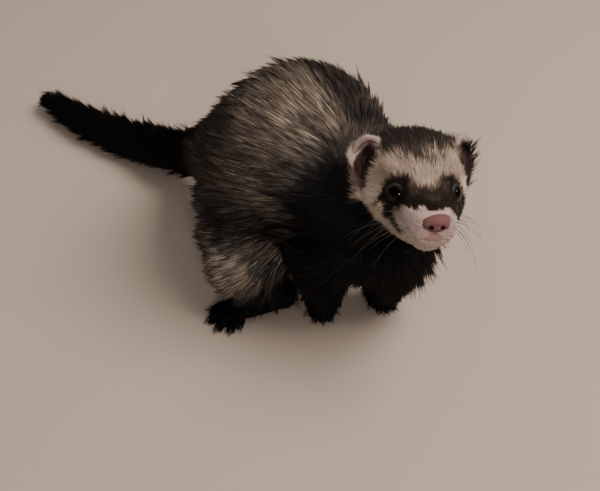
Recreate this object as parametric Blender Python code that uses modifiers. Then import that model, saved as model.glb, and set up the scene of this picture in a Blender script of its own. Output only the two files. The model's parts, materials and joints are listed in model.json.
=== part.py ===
"""A life-size ferret, crouched with its back arched, its tail on the floor and its head turned up.

Lengths in the tables are millimetres in the design frame: +X along the trunk towards the head,
+Y the animal's left, +Z up, the floor at 0. MM turns them into metres, and the finished model is
centred over its own footprint at the end.
"""

import math
import random

import bmesh
import bpy
import numpy as np
from mathutils import Matrix, Vector
from mathutils.bvhtree import BVHTree

MM = 0.001
GAP = 0.3            # clearance between neighbouring pieces
SOLE = 0.0           # height of the floor

# The trunk's middle line, from the root of the tail to the front of the chest:
# x, y, z, half width, half height of the coat
TRUNK = (
    (-48, 4.7, 30, 13, 14),
    (-26, 2, 42, 19.5, 22),
    (-5, 0, 54, 26.5, 29.5),
    (11, -0.5, 65, 32.5, 34.5),
    (21.5, 2, 74.5, 36.5, 37.5),
    (31, 4.5, 80.5, 38.5, 38),
    (45.5, 5, 77.5, 35.5, 35.5),
    (62, 6.5, 69, 29.5, 30.5),
    (78, 10, 62, 21, 24),
)
NECK = (
    (50, 10, 72, 24, 24),
    (64, 14, 76, 23.5, 24),
    (79, 16, 82, 19, 20),
)
TAIL = (
    (-48, 4.7, 30, 13.2, 13.8),
    (-64.5, 3.2, 21.5, 12.5, 13.3),
    (-90, -1.2, 15, 12, 12.7),
    (-112.5, -7.2, 12, 11, 12.2),
    (-139.5, -13.3, 11, 9, 10.7),
    (-163.5, -15.8, 9.5, 6.3, 7.7),
    (-177.5, -17, 8.5, 2.6, 3.4),
)
COAT = 2.6           # how far the packed core of the coat lies under the heights in these tables

# The head: its centre, the way it faces, and sections along its own +X towards the nose:
# x, half width, top, bottom
HEAD_AT = (93.2, 11.3, 90)
HEAD_YAW = -35.4
HEAD_PITCH = 23.9
HEAD_ROLL = -5.4
HEAD = (
    (-36, 11, 12, -12),
    (-30, 18, 18, -16),
    (-22, 22, 21.5, -18.5),
    (-12, 23, 22.5, -19.5),
    (-2, 21.3, 20.5, -19),
    (8, 17.3, 15.5, -18.5),
    (15, 13.5, 10, -17.5),
    (22, 11.3, 5, -16),
    (27, 9.6, 2.3, -14.6),
    (30, 7, 0.2, -12.5),
    (31.6, 3.2, -2.5, -9),
)
NECK_JOINT = ((-17, 0, 0), (0.93, 0, 0.36))      # in the head's frame: where it leaves the neck
HEAD_BALL = ((8, 0, 0), (52, 40, 37))            # in the head's frame: the space that the head is cut from
NECK_BALL = ((82.5, 13, 84), (31, 34, 31))         # the space that the neck is cut from
EYE_AT = (9.6, 10.9, 1.5)
EYE_RADIUS = 4.6
EYE_TURN = 51        # degrees that each eye looks out from straight ahead
EYE_LIFT = 12
EYE_OPENING = (3.6, 3.3)                         # half width and half height between the lids
EAR_AT = (-8.5, 21.3, 9.2)
EAR_SIZE = (8.5, 10)                             # half width and half height of the rim
EAR_WAY = {"right": (0.84, -0.5, 0.12), "left": (0.58, 0.78, 0.15)}

PAIR = (("right", -1), ("left", 1))
# Each foreleg's shoulder, elbow, wrist, and the middle of its paw's pad
FORELEGS = {
    "right": ((58, -8, 56), (57, -8, 38), (57.3, -5.8, 13), (56.3, -5.6, 4.6)),
    "left": ((78, 19, 55), (78, 17.5, 37), (74, 18.3, 12.7), (70.6, 19.2, 4.6)),
}
HINDLEGS = {
    "right": ((17, -10, 44), (26, -31, 25), (41, -18, 6.5), (30.5, -38.5, 4.8)),
    "left": ((17, 17, 44), (27, 32, 25), (41, 22, 6.5), (32.5, 41.5, 4.8)),
}
TOES_AHEAD = {
    "forepaw_right": (0.7, -0.71),
    "forepaw_left": (0.95, -0.31),
    "hindfoot_right": (0.1, -1),
    "hindfoot_left": (0.15, 1),
}
FORE_TOES = ((-50, 6, 2.4), (-24, 7.5, 2.7), (-4, 8.1, 2.8), (17, 7.9, 2.8), (42, 6.7, 2.6))
HIND_TOES = ((-46, 9.6, 2.6), (-28, 11.4, 3), (-6, 12.6, 3.1), (17, 12.2, 3.1), (40, 10.4, 2.9))
HOCK = 10.6          # height of the joint between a hind leg and its foot

# A lock of hair: how far along it and how high each step is, as shares of its length and lift,
# then its widths as shares of its full width, and its depths
LOCK_STEPS = ((0.25, 0.2), (0.62, 0.55), (1, 1))
LOCK_WIDTHS = (0.9, 1, 0.66)
LOCK_DEPTHS = (1.4, 1.5, 1.1)
FAN = (84, 8, 70)     # in the shoulders: the hair lies away from here
BODY_COAT = (13.8, 24.5, 11, 4.2)                     # distance apart, length, width, lift at the tip
TAIL_COAT = (12.2, 19.5, 8.6, 3.4)
ARM_SIZES = ((19, 21), (15.5, 16.5), (9.6, 9.8), (7, 6))

COLOURS = {
    "coat": (0.25, 0.20, 0.16),
    "dark_coat": (0.02, 0.017, 0.015),
    "mask": (0.55, 0.46, 0.38),
    "ear_skin": (0.62, 0.42, 0.36),
    "eye": (0.008, 0.006, 0.006),
    "nose": (0.60, 0.27, 0.26),
}


def clear_scene():
    for obj in list(bpy.data.objects):
        bpy.data.objects.remove(obj, do_unlink=True)


def collection(name):
    made = bpy.data.collections.new(name)
    bpy.context.scene.collection.children.link(made)
    return made


clear_scene()
PARTS = collection("ferret")
CUTTERS = collection("cutters")
LOCKS = collection("locks")


def material(name, roughness=0.8):
    found = bpy.data.materials.get(name)
    if found:
        return found
    made = bpy.data.materials.new(name)
    made.use_nodes = True
    shader = made.node_tree.nodes["Principled BSDF"]
    shader.inputs["Base Color"].default_value = (*COLOURS[name], 1)
    shader.inputs["Roughness"].default_value = roughness
    shader.inputs["Metallic"].default_value = 0
    return made


def add_object(name, mesh, where=PARTS):
    obj = bpy.data.objects.new(name, mesh)
    where.objects.link(obj)
    if where is CUTTERS:
        obj.hide_render = True
        obj.display_type = "WIRE"
    return obj


def closed_volume(faces):
    total = 0.0
    for face in faces:
        first = face.verts[0].co
        for a, b in zip(face.verts[1:], face.verts[2:]):
            total += first.dot(a.co.cross(b.co))
    return total / 6


def from_bmesh(name, bm, where=CUTTERS):
    bmesh.ops.recalc_face_normals(bm, faces=bm.faces)
    if closed_volume(bm.faces) < 0:
        bmesh.ops.reverse_faces(bm, faces=bm.faces)
    mesh = bpy.data.meshes.new(name)
    bm.to_mesh(mesh)
    bm.free()
    return add_object(name, mesh, where)


def axes(forward, up=(0, 0, 1)):
    """A rotation whose X is forward, whose Z is as near up as it can be, and whose Y is to the left."""
    x = Vector(forward).normalized()
    if abs(x.dot(Vector(up))) > 0.999:
        up = (1, 0, 0)
    y = Vector(up).cross(x).normalized()
    return Matrix((x, y, x.cross(y))).transposed().to_4x4()


def head_matrix():
    turn = Matrix.Rotation(math.radians(HEAD_YAW), 4, "Z")
    turn @= Matrix.Rotation(math.radians(-HEAD_PITCH), 4, "Y")
    turn @= Matrix.Rotation(math.radians(HEAD_ROLL), 4, "X")
    return Matrix.Translation(Vector(HEAD_AT) * MM) @ turn


IN_HEAD = head_matrix()


def ellipsoid(name, centre, radii, forward=(1, 0, 0), up=(0, 0, 1), detail=16, where=CUTTERS):
    bm = bmesh.new()
    bmesh.ops.create_uvsphere(bm, u_segments=detail, v_segments=max(6, detail // 2), radius=1)
    place = Matrix.Translation(Vector(centre) * MM) @ axes(forward, up)
    bm.transform(place @ Matrix.Diagonal((*[r * MM for r in radii], 1)))
    return from_bmesh(name, bm, where)


def box(name, centre, sides, turn=None):
    bm = bmesh.new()
    bmesh.ops.create_cube(bm, size=1)
    place = Matrix.Translation(Vector(centre) * MM) @ (turn or Matrix())
    bm.transform(place @ Matrix.Diagonal((*[s * MM for s in sides], 1)))
    return from_bmesh(name, bm)


def smooth_row(rows, steps):
    """The rows of a table with steps - 1 more between each two, on Catmull-Rom curves."""
    table = [np.array(r, float) for r in rows]
    table = [2 * table[0] - table[1], *table, 2 * table[-1] - table[-2]]
    made = []
    for i in range(1, len(table) - 2):
        p0, p1, p2, p3 = table[i - 1 : i + 3]
        for k in range(steps):
            t = k / steps
            made.append(
                0.5 * (2 * p1 + (p2 - p0) * t + (2 * p0 - 5 * p1 + 4 * p2 - p3) * t * t
                       + (3 * p1 - p0 - 3 * p2 + p3) * t ** 3)
            )
    return [*made, table[-2]]


def skin_rings(name, rings, place=None):
    """A closed surface through rings of points, with a point at each end's middle."""
    bm = bmesh.new()
    grid = [[bm.verts.new(p) for p in ring] for ring in rings]
    for near, far in zip(grid, grid[1:]):
        for i in range(len(near)):
            j = (i + 1) % len(near)
            bm.faces.new((near[i], near[j], far[j], far[i]))
    for ring in (grid[0], grid[-1]):
        middle = bm.verts.new(sum((v.co for v in ring), Vector()) / len(ring))
        for i in range(len(ring)):
            bm.faces.new((ring[i], ring[(i + 1) % len(ring)], middle))
    if place:
        bm.transform(place)
    return from_bmesh(name, bm)


def tube(name, rows, steps=4, sides=20, up=(0, 0, 1)):
    """A limb or trunk: rows of x, y, z, half width, half height along its middle line."""
    rows = smooth_row(rows, steps)
    rings = []
    for i, row in enumerate(rows):
        ahead = Vector(rows[min(i + 1, len(rows) - 1)][:3]) - Vector(rows[max(i - 1, 0)][:3])
        turn = axes(ahead, up)
        ring = []
        for k in range(sides):
            angle = math.tau * k / sides
            across = Vector((0, row[3] * math.cos(angle), row[4] * math.sin(angle)))
            ring.append((Vector(row[:3]) + turn @ across) * MM)
        rings.append(ring)
    return skin_rings(name, rings)


def head_form(name, sides=24):
    """The head's loft. Its sections are a little squarer below, where the jaw is."""
    rings = []
    for x, wide, top, bottom in smooth_row(HEAD, 4):
        ring = []
        for k in range(sides):
            angle = math.tau * k / sides
            across, rise = math.cos(angle), math.sin(angle)
            full = (1 + 0.24 * (across * rise) ** 2) * (1 - 0.09 * rise)
            middle, half = (top + bottom) / 2, (top - bottom) / 2
            ring.append(Vector((x, wide * across * full, middle + half * rise * full)) * MM)
        rings.append(ring)
    return skin_rings(name, rings, IN_HEAD)


def in_head(point):
    """A point given in the head's own frame, in millimetres of the design frame."""
    return IN_HEAD @ (Vector(point) * MM) / MM


def head_way(direction):
    return IN_HEAD.to_3x3() @ Vector(direction)


def apply_modifiers(obj):
    graph = bpy.context.evaluated_depsgraph_get()
    mesh = bpy.data.meshes.new_from_object(obj.evaluated_get(graph))
    obj.modifiers.clear()
    obj.data = mesh
    return obj


def remove(*objects):
    for obj in objects:
        bpy.data.objects.remove(obj, do_unlink=True)


def duplicate(obj, name):
    return add_object(name, obj.data.copy(), CUTTERS)


def fuse(name, pieces, voxel, rounds, triangles):
    """The pieces as one smooth skin with about that many triangles."""
    bm = bmesh.new()
    for piece in pieces:
        bm.from_mesh(piece.data)
    remove(*pieces)
    obj = from_bmesh(name, bm)
    remesh = obj.modifiers.new("Remesh", "REMESH")
    remesh.mode = "VOXEL"
    remesh.voxel_size = voxel * MM
    smooth = obj.modifiers.new("Smooth", "SMOOTH")
    smooth.factor = 0.5
    smooth.iterations = rounds
    apply_modifiers(obj)
    return thinned(obj, triangles)


def thinned(obj, triangles):
    mesh = obj.data
    mesh.calc_loop_triangles()
    decimate = obj.modifiers.new("Decimate", "DECIMATE")
    decimate.ratio = min(1, triangles / len(mesh.loop_triangles))
    decimate.use_collapse_triangulate = True
    return apply_modifiers(obj)


def boolean(obj, cutter, operation="DIFFERENCE", keep=False):
    step = obj.modifiers.new("Boolean", "BOOLEAN")
    step.operation = operation
    step.solver = "MANIFOLD"
    step.object = cutter
    apply_modifiers(obj)
    if not keep:
        remove(cutter)
    return obj


def grown(obj, distance, name="grown"):
    """A copy of obj whose surface stands off it by a distance."""
    made = duplicate(obj, name)
    swell = made.modifiers.new("Displace", "DISPLACE")
    swell.strength = distance * MM
    swell.mid_level = 0
    return apply_modifiers(made)


def keep_largest(obj):
    """Drops every surface of obj but its largest."""
    bm = bmesh.new()
    bm.from_mesh(obj.data)
    left, islands = set(bm.faces), []
    while left:
        island, edge = set(), [left.pop()]
        while edge:
            face = edge.pop()
            island.add(face)
            for side in face.edges:
                for other in side.link_faces:
                    if other in left:
                        left.discard(other)
                        edge.append(other)
        islands.append(island)
    best = max(islands, key=closed_volume)
    bmesh.ops.delete(bm, geom=[f for f in bm.faces if f not in best], context="FACES")
    bm.to_mesh(obj.data)
    bm.free()
    return obj


def finish(obj, name, look, roughness=0.8):
    """Makes obj the named node, with its one material."""
    keep_largest(obj)
    obj.name = name
    obj.data.name = name
    for home in list(obj.users_collection):
        home.objects.unlink(obj)
    PARTS.objects.link(obj)
    obj.hide_render = False
    obj.display_type = "TEXTURED"
    obj.data.materials.clear()
    obj.data.materials.append(material(look, roughness))
    obj.data.shade_smooth()
    obj.data.set_sharp_from_angle(angle=math.radians(40))
    return obj


def half_space(name, point, normal, side=400):
    """A large block that fills the space ahead of a plane."""
    ahead = Vector(normal).normalized()
    return box(name, Vector(point) + ahead * side / 2, (side, side, side), axes(ahead))


def thinner(rows, by):
    return [(*row[:3], row[3] - by, row[4] - by) for row in rows]


def limb_rows(joints, sizes):
    return [(*joint, *size) for joint, size in zip(joints, sizes)]


def body_form():
    """Trunk, neck, back of the head, and the legs down to wrist and heel, as one skin."""
    pieces = [tube("trunk", thinner(TRUNK, COAT), sides=28), tube("neck", thinner(NECK, 1))]
    pieces += [tube("tail", thinner(TAIL[:3], COAT)), head_form("skull")]
    pieces.append(ellipsoid("belly", (34, 2, 46), (38, 25, 27)))
    pieces.append(ellipsoid("breast", (66, 6, 49), (23.5, 23, 22)))
    for side, sign in PAIR:
        pieces.append(tube("arm", limb_rows(FORELEGS[side], ARM_SIZES), sides=14, up=(1, 0, 0)))
        hip, knee, heel, pad = HINDLEGS[side]
        thigh = Vector(hip).lerp(Vector(knee), 0.5)
        for joint, size in ((hip, 33.5), (thigh, 28.5), (knee, 20)):
            pieces.append(ellipsoid("thigh", joint, (size - COAT, (size - COAT) * 0.92, size - COAT)))
        pieces.append(tube("shank", limb_rows((knee, heel), ((15, 14), (9, 8))), sides=14, up=(1, 0, 0)))
    return fuse("body", pieces, 1.7, 6, 2000)


def toes(name, pad, wide):
    """Each toe's root, tip, way and thickness."""
    ahead = Vector((*TOES_AHEAD[name], 0)).normalized()
    sign = 1 if name.endswith("right") else -1
    made = []
    for turn, reach, thick in FORE_TOES if name.startswith("fore") else HIND_TOES:
        way = ahead.copy()
        way.rotate(Matrix.Rotation(math.radians(-turn * sign), 3, "Z"))
        side = math.sin(math.radians(turn)) * sign
        root = Vector(pad) + Vector((ahead.y, -ahead.x, 0)) * side * wide * 0.42
        tip = Vector(pad) + way * reach
        root.z, tip.z = 3.6, 2.5
        made.append((root, tip, way, thick))
    return made


def paw_form(name, above, pad, wide, triangles):
    """A paw: what is above its pad, the pad, five toes fanned from it, claws, and a flat sole."""
    pieces = list(above)
    row = toes(name, pad, wide)
    ahead = Vector((*TOES_AHEAD[name], 0))
    pieces.append(ellipsoid("pad", pad, (wide * 0.52, wide * 0.5, 5), ahead))
    for root, tip, way, thick in row:
        middle = (root + tip) / 2 + Vector((0, 0, 0.7))
        rows = ((*root, thick, thick), (*middle, thick * 1.05, thick * 1.1), (*tip, thick * 0.8, thick * 0.9))
        pieces.append(tube("toe", rows, steps=2, sides=8))
        pieces.append(ellipsoid("toe_tip", tip, (thick, thick * 0.9, thick), way, detail=8))
    paw = fuse(name, pieces, 0.8, 3, triangles)
    for root, tip, way, thick in row:
        boolean(paw, claw(tip + way * thick * 0.6, way), "UNION")
    return boolean(paw, half_space("floor", (*pad[:2], SOLE), (0, 0, -1)))


def forepaw_node(side):
    elbow, wrist, pad = [Vector(p) for p in FORELEGS[side][1:]]
    above = [
        tube("wrist", limb_rows((elbow, wrist), ((9, 9), (7.6, 8))), sides=14, up=(1, 0, 0)),
        ellipsoid("cuff", wrist.lerp(pad, 0.5), (8, 7.6, 6.5)),
    ]
    paw = paw_form("forepaw_" + side, above, pad, 13, 350)
    point, down = wrist_plane(side)
    boolean(paw, half_space("above", point + down * GAP / 2, -down))
    return paw


def hindfoot_node(side):
    knee, heel, pad = [Vector(p) for p in HINDLEGS[side][1:]]
    middle = heel.lerp(pad, 0.5)
    above = [
        tube("sole", ((*heel, 6, 6.5), (*middle, 7, 6.5), (*pad, 8, 5)), sides=14),
        ellipsoid("heel", heel, (6.4, 6, 6.6)),
        ellipsoid("hock", middle.lerp(knee, 0.45), (11, 11, 9)),
    ]
    foot = paw_form("hindfoot_" + side, above, pad, 16, 390)
    return boolean(foot, half_space("above", (0, 0, HOCK - GAP / 2), (0, 0, 1)))


def claw(root, way):
    """A short curved claw, five-sided, from inside the toe's tip to its point near the floor."""
    rows = (
        (*(root - way * 1.4), 0.9, 1.1),
        (*(root + way * 1.0), 0.8, 1),
        (*(root + way * 2.9 + Vector((0, 0, -1))), 0.3, 0.36),
    )
    return tube("claw", rows, steps=1, sides=5)


def ear_form(name, sign):
    """A round cupped ear, open to the front and outward."""
    bm = bmesh.new()
    rows, sides = 6, 16
    wide, high = EAR_SIZE
    grid = []
    for r in range(rows + 1):
        share = r / rows
        ring = []
        for k in range(sides):
            angle = math.tau * k / sides
            flat = Vector((0, wide * math.cos(angle), high * math.sin(angle))) * share
            flat.x = -4.0 * (1 - share * share) + 0.8 * share ** 3
            ring.append(flat)
            if r == 0:
                break
        grid.append([bm.verts.new(p * MM) for p in ring])
    for k in range(sides):
        bm.faces.new((grid[0][0], grid[1][k], grid[1][(k + 1) % sides]))
    for near, far in zip(grid[1:], grid[2:]):
        for k in range(sides):
            j = (k + 1) % sides
            bm.faces.new((near[k], far[k], far[j], near[j]))
    out = head_way(EAR_WAY["right" if sign < 0 else "left"])
    up = head_way((-0.1, sign * -0.2, 1))
    place = Matrix.Translation(Vector(in_head((EAR_AT[0], sign * EAR_AT[1], EAR_AT[2]))) * MM)
    bm.transform(place @ axes(out, up))
    ear = from_bmesh(name, bm)
    shell = ear.modifiers.new("Solidify", "SOLIDIFY")
    shell.thickness = 1.7 * MM
    shell.offset = -1
    return apply_modifiers(ear)


def eye_centre(sign):
    return in_head((EYE_AT[0], sign * EYE_AT[1], EYE_AT[2]))


def eye_way(sign):
    turn, lift = math.radians(EYE_TURN), math.radians(EYE_LIFT)
    return head_way((math.cos(turn) * math.cos(lift), sign * math.sin(turn) * math.cos(lift), math.sin(lift)))


def eye_frame(sign):
    """Places a shape drawn round the eye's centre, with the eye looking along +X."""
    return Matrix.Translation(Vector(eye_centre(sign)) * MM) @ axes(eye_way(sign), head_way((0, 0, 1)))


def lid_ring(sign):
    """The two lids as one low ridge round the opening."""
    bm = bmesh.new()
    sides, section = 18, 6
    rings = []
    for k in range(sides):
        angle = math.tau * k / sides
        across = (EYE_OPENING[0] + 0.7) * math.cos(angle)
        rise = (EYE_OPENING[1] + 0.7) * math.sin(angle)
        middle = Vector((2.75 - 0.03 * across * across, across, rise))
        outward = Vector((0.2, math.cos(angle), math.sin(angle))).normalized()
        ring = []
        for s in range(section):
            turn = math.tau * s / section
            point = middle + outward * math.cos(turn) + Vector((1.1 * math.sin(turn), 0, 0))
            ring.append(bm.verts.new(point * MM))
        rings.append(ring)
    for k in range(sides):
        near, far = rings[k], rings[(k + 1) % sides]
        for s in range(section):
            t = (s + 1) % section
            bm.faces.new((near[s], near[t], far[t], far[s]))
    bm.transform(eye_frame(sign))
    return from_bmesh("lids", bm)


def eye_opening(sign):
    """What is cut from the head in front of the eye."""
    rows = []
    for x, share in ((0, 0.8), (2.4, 1), (3.6, 1.02), (9, 1.5)):
        rows.append((x, 0, 0, EYE_OPENING[0] * share, EYE_OPENING[1] * share))
    shape = tube("opening", rows, steps=1, sides=18)
    shape.data.transform(eye_frame(sign))
    return shape


def mouth_cutter(skull):
    """A thin groove in the skin, from one corner of the mouth round under the nose to the other."""
    half = ((32, 0, -11.4), (29, 5.5, -12.2), (23, 10, -12.9), (16, 13, -12.2), (10, 17, -10))
    tree = BVHTree.FromObject(skull, bpy.context.evaluated_depsgraph_get())
    line = [(x, -y, z) for x, y, z in reversed(half[1:])] + list(half)
    rows = []
    for point in smooth_row(line, 3):
        near = tree.find_nearest(in_head(point) * MM)[0] / MM
        rows.append((*near, 0.75, 0.75))
    return tube("mouth", rows, steps=1, sides=6)


def head_node(nose):
    pieces = [head_form("skull"), tube("neck", NECK)]
    for sign in (-1, 1):
        cheek = in_head((16, sign * 5.5, -9.5))
        pieces.append(ellipsoid("whisker_pad", cheek, (10, 6.6, 6.4), head_way((1, -sign * 0.12, -0.05))))
        brow = in_head((4, sign * 10.5, 8.5))
        pieces.append(ellipsoid("brow", brow, (8.5, 6, 5), head_way((1, -sign * 0.3, -0.35))))
    pieces.append(ellipsoid("chin", in_head((22, 0, -14)), (7.5, 6, 4), head_way((1, 0, 0.15))))
    head = fuse("head", pieces, 0.9, 4, 1700)
    point, way = in_head(NECK_JOINT[0]), head_way(NECK_JOINT[1]).normalized()
    boolean(head, half_space("behind", point + way * GAP / 2, -way))
    space = grown(head, GAP * 1.5, "head_space")
    for sign in (-1, 1):
        boolean(head, eye_opening(sign))
        boolean(head, lid_ring(sign), "UNION")
        boolean(head, ellipsoid("socket", eye_centre(sign), (EYE_RADIUS + GAP,) * 3, detail=20))
    boolean(head, mouth_cutter(head))
    return boolean(head, grown(nose, GAP * 1.1)), space


def nose_node():
    """The nose leather, with a nostril each side."""
    pieces = [
        ellipsoid("pad", in_head((28.8, 0.3, -2.9)), (4.7, 4.7, 3.7), head_way((1, 0, -0.1))),
        ellipsoid("lip", in_head((29.3, 0.3, -5.7)), (3.9, 2.9, 3), head_way((1, 0, -0.1))),
    ]
    for sign in (-1, 1):
        wing = in_head((29.4, 0.3 + sign * 2.9, -4.2))
        pieces.append(ellipsoid("wing", wing, (3.8, 2.4, 2.8), head_way((1, sign * 0.3, 0))))
    nose = fuse("nose", pieces, 0.45, 2, 320)
    boolean(nose, half_space("root", in_head((26.6, 0, 0)), head_way((-1, 0, 0))))
    for sign in (-1, 1):
        hole = ellipsoid("nostril", in_head((33.1, 0.3 + sign * 2.3, -4.8)), (2.4, 1.0, 0.8),
                         head_way((1, sign * 0.5, -0.15)), detail=8)
        boolean(nose, hole)
    return nose


def region(name, balls, more=0):
    """The space inside a few overlapping balls, each a centre, its radii and the way it points."""
    first, *others = [
        ellipsoid(name, centre, [r + more for r in radii], way, detail=14) for centre, radii, way in balls
    ]
    for other in others:
        boolean(first, other, "UNION")
    return first


def leg_regions():
    """A round volume for each leg, which its joint with the trunk follows."""
    made = {}
    for side, sign in PAIR:
        shoulder, elbow, wrist, pad = [Vector(p) for p in FORELEGS[side]]
        made["foreleg_" + side] = [(elbow + Vector((-3, sign * 4, -4)), (30, 20, 21), wrist - shoulder)]
        hip, knee, heel, pad = [Vector(p) for p in HINDLEGS[side]]
        made["hindleg_" + side] = [
            (knee + Vector((0, sign * 6, 2)), (32, 24, 34), (1, 0, 0)),
            (heel + Vector((-3, sign * 3, 3)), (20, 16, 20), (1, 0, 0)),
        ]
    return made


def wrist_plane(side):
    """A point and a direction just above a wrist, for parting the paw from the leg."""
    elbow, wrist = [Vector(p) for p in FORELEGS[side][1:3]]
    return wrist.lerp(elbow, 0.14), (wrist - elbow).normalized()


def lock_spine(tree, root, way, length, lift, bend):
    """Points from a lock's sunk root to its tip, with the way out of the surface at each."""
    point, normal = tree.find_nearest(root * MM)[:2]
    way = (way - normal * way.dot(normal)).normalized()
    start = point / MM
    spine = [(start - normal * 2.6 - way * 1.5, normal)]
    for share, rise in LOCK_STEPS:
        ahead = start + way * length * share
        ahead += normal.cross(way) * bend * length * share * share
        near, face = tree.find_nearest(ahead * MM)[:2]
        spine.append((near / MM + (face + normal).normalized() * lift * rise, face + normal))
    return spine


def lock_mesh(spine, wide):
    """A flat, three-sided lock along its spine, narrowing to a point."""
    bm = bmesh.new()
    rings = []
    for k, (middle, face) in enumerate(spine[:-1]):
        ahead = (spine[k + 1][0] - spine[max(k - 1, 0)][0]).normalized()
        across = ahead.cross(face).normalized()
        above = across.cross(ahead).normalized()
        half, thick = wide * LOCK_WIDTHS[k] / 2, LOCK_DEPTHS[k]
        ring = (middle - across * half, middle + above * thick, middle + across * half)
        rings.append([bm.verts.new(q * MM) for q in ring])
    for near, far in zip(rings, rings[1:]):
        for i in range(3):
            j = (i + 1) % 3
            bm.faces.new((near[i], near[j], far[j]))
            bm.faces.new((near[i], far[j], far[i]))
    bm.faces.new(rings[0])
    tip = bm.verts.new(spine[-1][0] * MM)
    for i in range(3):
        bm.faces.new((rings[-1][i], rings[-1][(i + 1) % 3], tip))
    bm.faces.ensure_lookup_table()
    return bm


def crosses_itself(bm):
    tree = BVHTree.FromBMesh(bm)
    return any(not set(bm.faces[a].verts) & set(bm.faces[b].verts) for a, b in tree.overlap(tree) if a < b)


def lock(tree, root, way, length, wide, lift, draw):
    """A lock of hair that follows the surface and lifts to its tip, shorter where it would cross itself."""
    bend = draw.uniform(-0.25, 0.25)
    for share in (1, 0.8, 0.6):
        bm = lock_mesh(lock_spine(tree, root, way, length * share, lift, bend * share), wide * share ** 0.5)
        if not crosses_itself(bm):
            from_bmesh("lock", bm, LOCKS)
            return
        bm.free()


def surface_tree(obj):
    return BVHTree.FromObject(obj, bpy.context.evaluated_depsgraph_get())


def spots(obj, apart, covered, draw):
    """Points spread evenly over a surface where it is covered, no two closer than the given distance."""
    kept = []
    points = obj.data.vertices
    faces = list(obj.data.polygons)
    for face in draw.choices(faces, [face.area for face in faces], k=7000):
        a, b, c = [points[v].co / MM for v in face.vertices]
        near, far = sorted((draw.random(), draw.random()))
        place = a * near + b * (far - near) + c * (1 - far)
        if covered(place, face.normal) and all((place - other).length > apart for other in kept):
            kept.append(place)
    return kept


def cover(obj, coat, covered, seed):
    """Locks all over a surface, each lying away from the shoulders and a little down."""
    apart, length, wide, lift = coat
    draw = random.Random(seed)
    tree = surface_tree(obj)
    for place in spots(obj, apart, covered, draw):
        way = (place - Vector(FAN)).normalized() + Vector((-0.3, 0, -0.3))
        short = min(1, 0.3 + (place - Vector(HEAD_AT)).length / 90)
        size = short * draw.uniform(0.85, 1.15)
        lock(tree, place, way, length * size, wide * draw.uniform(0.9, 1.1),
             lift * short * draw.uniform(0.8, 1.2), draw)


def long_coat(place, normal):
    """Whether a place on the body has long hair: behind the head, off the belly and the lower legs."""
    behind = (place - in_head(NECK_JOINT[0])).dot(head_way(NECK_JOINT[1]).normalized())
    head = behind > -5 and (place - in_head(HEAD_BALL[0])).length < 50
    return not head and normal.z > -0.7 and place.z > (38 if place.x > 38 else 22)


def fuse_locks(obj):
    step = obj.modifiers.new("Boolean", "BOOLEAN")
    step.operation = "UNION"
    step.solver = "MANIFOLD"
    step.operand_type = "COLLECTION"
    step.collection = LOCKS
    apply_modifiers(obj)
    remove(*LOCKS.objects)
    return keep_largest(obj)


def build():
    body = body_form()
    cover(body, BODY_COAT, long_coat, 11)
    fuse_locks(body)
    core = [(x, y, z - min(COAT, high / 3) / 2, wide - min(COAT, wide / 3), high - min(COAT, high / 3) / 2)
            for x, y, z, wide, high in TAIL]
    tail = fuse("tail", [tube("brush", core, sides=16), tube("rump", thinner(TRUNK[:2], COAT))], 1.2, 4, 420)
    cover(tail, TAIL_COAT, lambda place, normal: normal.z > -0.8, 12)
    fuse_locks(tail)
    root = Vector(TAIL[0][:3]).lerp(Vector(TAIL[1][:3]), 0.35)
    along = (Vector(TAIL[1][:3]) - Vector(TAIL[0][:3])).normalized()
    boolean(tail, half_space("root", root + along * GAP / 2, -along))
    boolean(body, half_space("root", root - along * GAP / 2, along))
    finish(boolean(tail, half_space("floor", (0, 0, SOLE), (0, 0, -1))), "tail", "dark_coat")

    nose = nose_node()
    head, head_space = head_node(nose)
    ears = {side: ear_form("ear_" + side, sign) for side, sign in PAIR}
    for side, ear in ears.items():
        boolean(body, grown(ear, GAP * 1.5))
        finish(boolean(ear, grown(head, GAP)), "ear_" + side, "ear_skin")
    point, way = in_head(NECK_JOINT[0]), head_way(NECK_JOINT[1]).normalized()
    ahead = region("ahead", [(in_head(HEAD_BALL[0]), HEAD_BALL[1], head_way((1, 0, 0)))])
    boolean(ahead, half_space("joint", point - way * GAP, way), "INTERSECT")
    boolean(body, ahead)
    boolean(body, head_space)
    for side, sign in PAIR:
        finish(forepaw_node(side), "forepaw_" + side, "dark_coat")
        finish(hindfoot_node(side), "hindfoot_" + side, "dark_coat")

    for name, balls in leg_regions().items():
        kind, side = name.split("leg_")
        leg = duplicate(body, name)
        boolean(leg, region("inside", balls), "INTERSECT")
        boolean(body, region("outside", balls, GAP))
        if kind == "fore":
            point, down = wrist_plane(side)
            boolean(leg, half_space("below", point - down * GAP / 2, down))
        else:
            boolean(leg, half_space("below", (0, 0, HOCK + GAP / 2), (0, 0, -1)))
        finish(leg, name, "dark_coat" if kind == "fore" else "coat")

    boolean(body, half_space("floor", (0, 0, HOCK + GAP / 2), (0, 0, -1)))
    neck = duplicate(body, "neck")
    ball = [(*NECK_BALL, (1, 0, 0))]
    boolean(neck, region("inside", ball), "INTERSECT")
    boolean(body, region("outside", ball, GAP))
    finish(neck, "neck", "dark_coat")
    finish(body, "torso", "coat")

    for side, sign in PAIR:
        eye = ellipsoid("eye", eye_centre(sign), (EYE_RADIUS,) * 3, eye_way(sign), detail=14)
        finish(eye, "eye_" + side, "eye", 0.08)
    finish(nose, "nose", "nose", 0.45)
    finish(head, "head", "mask")


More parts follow.
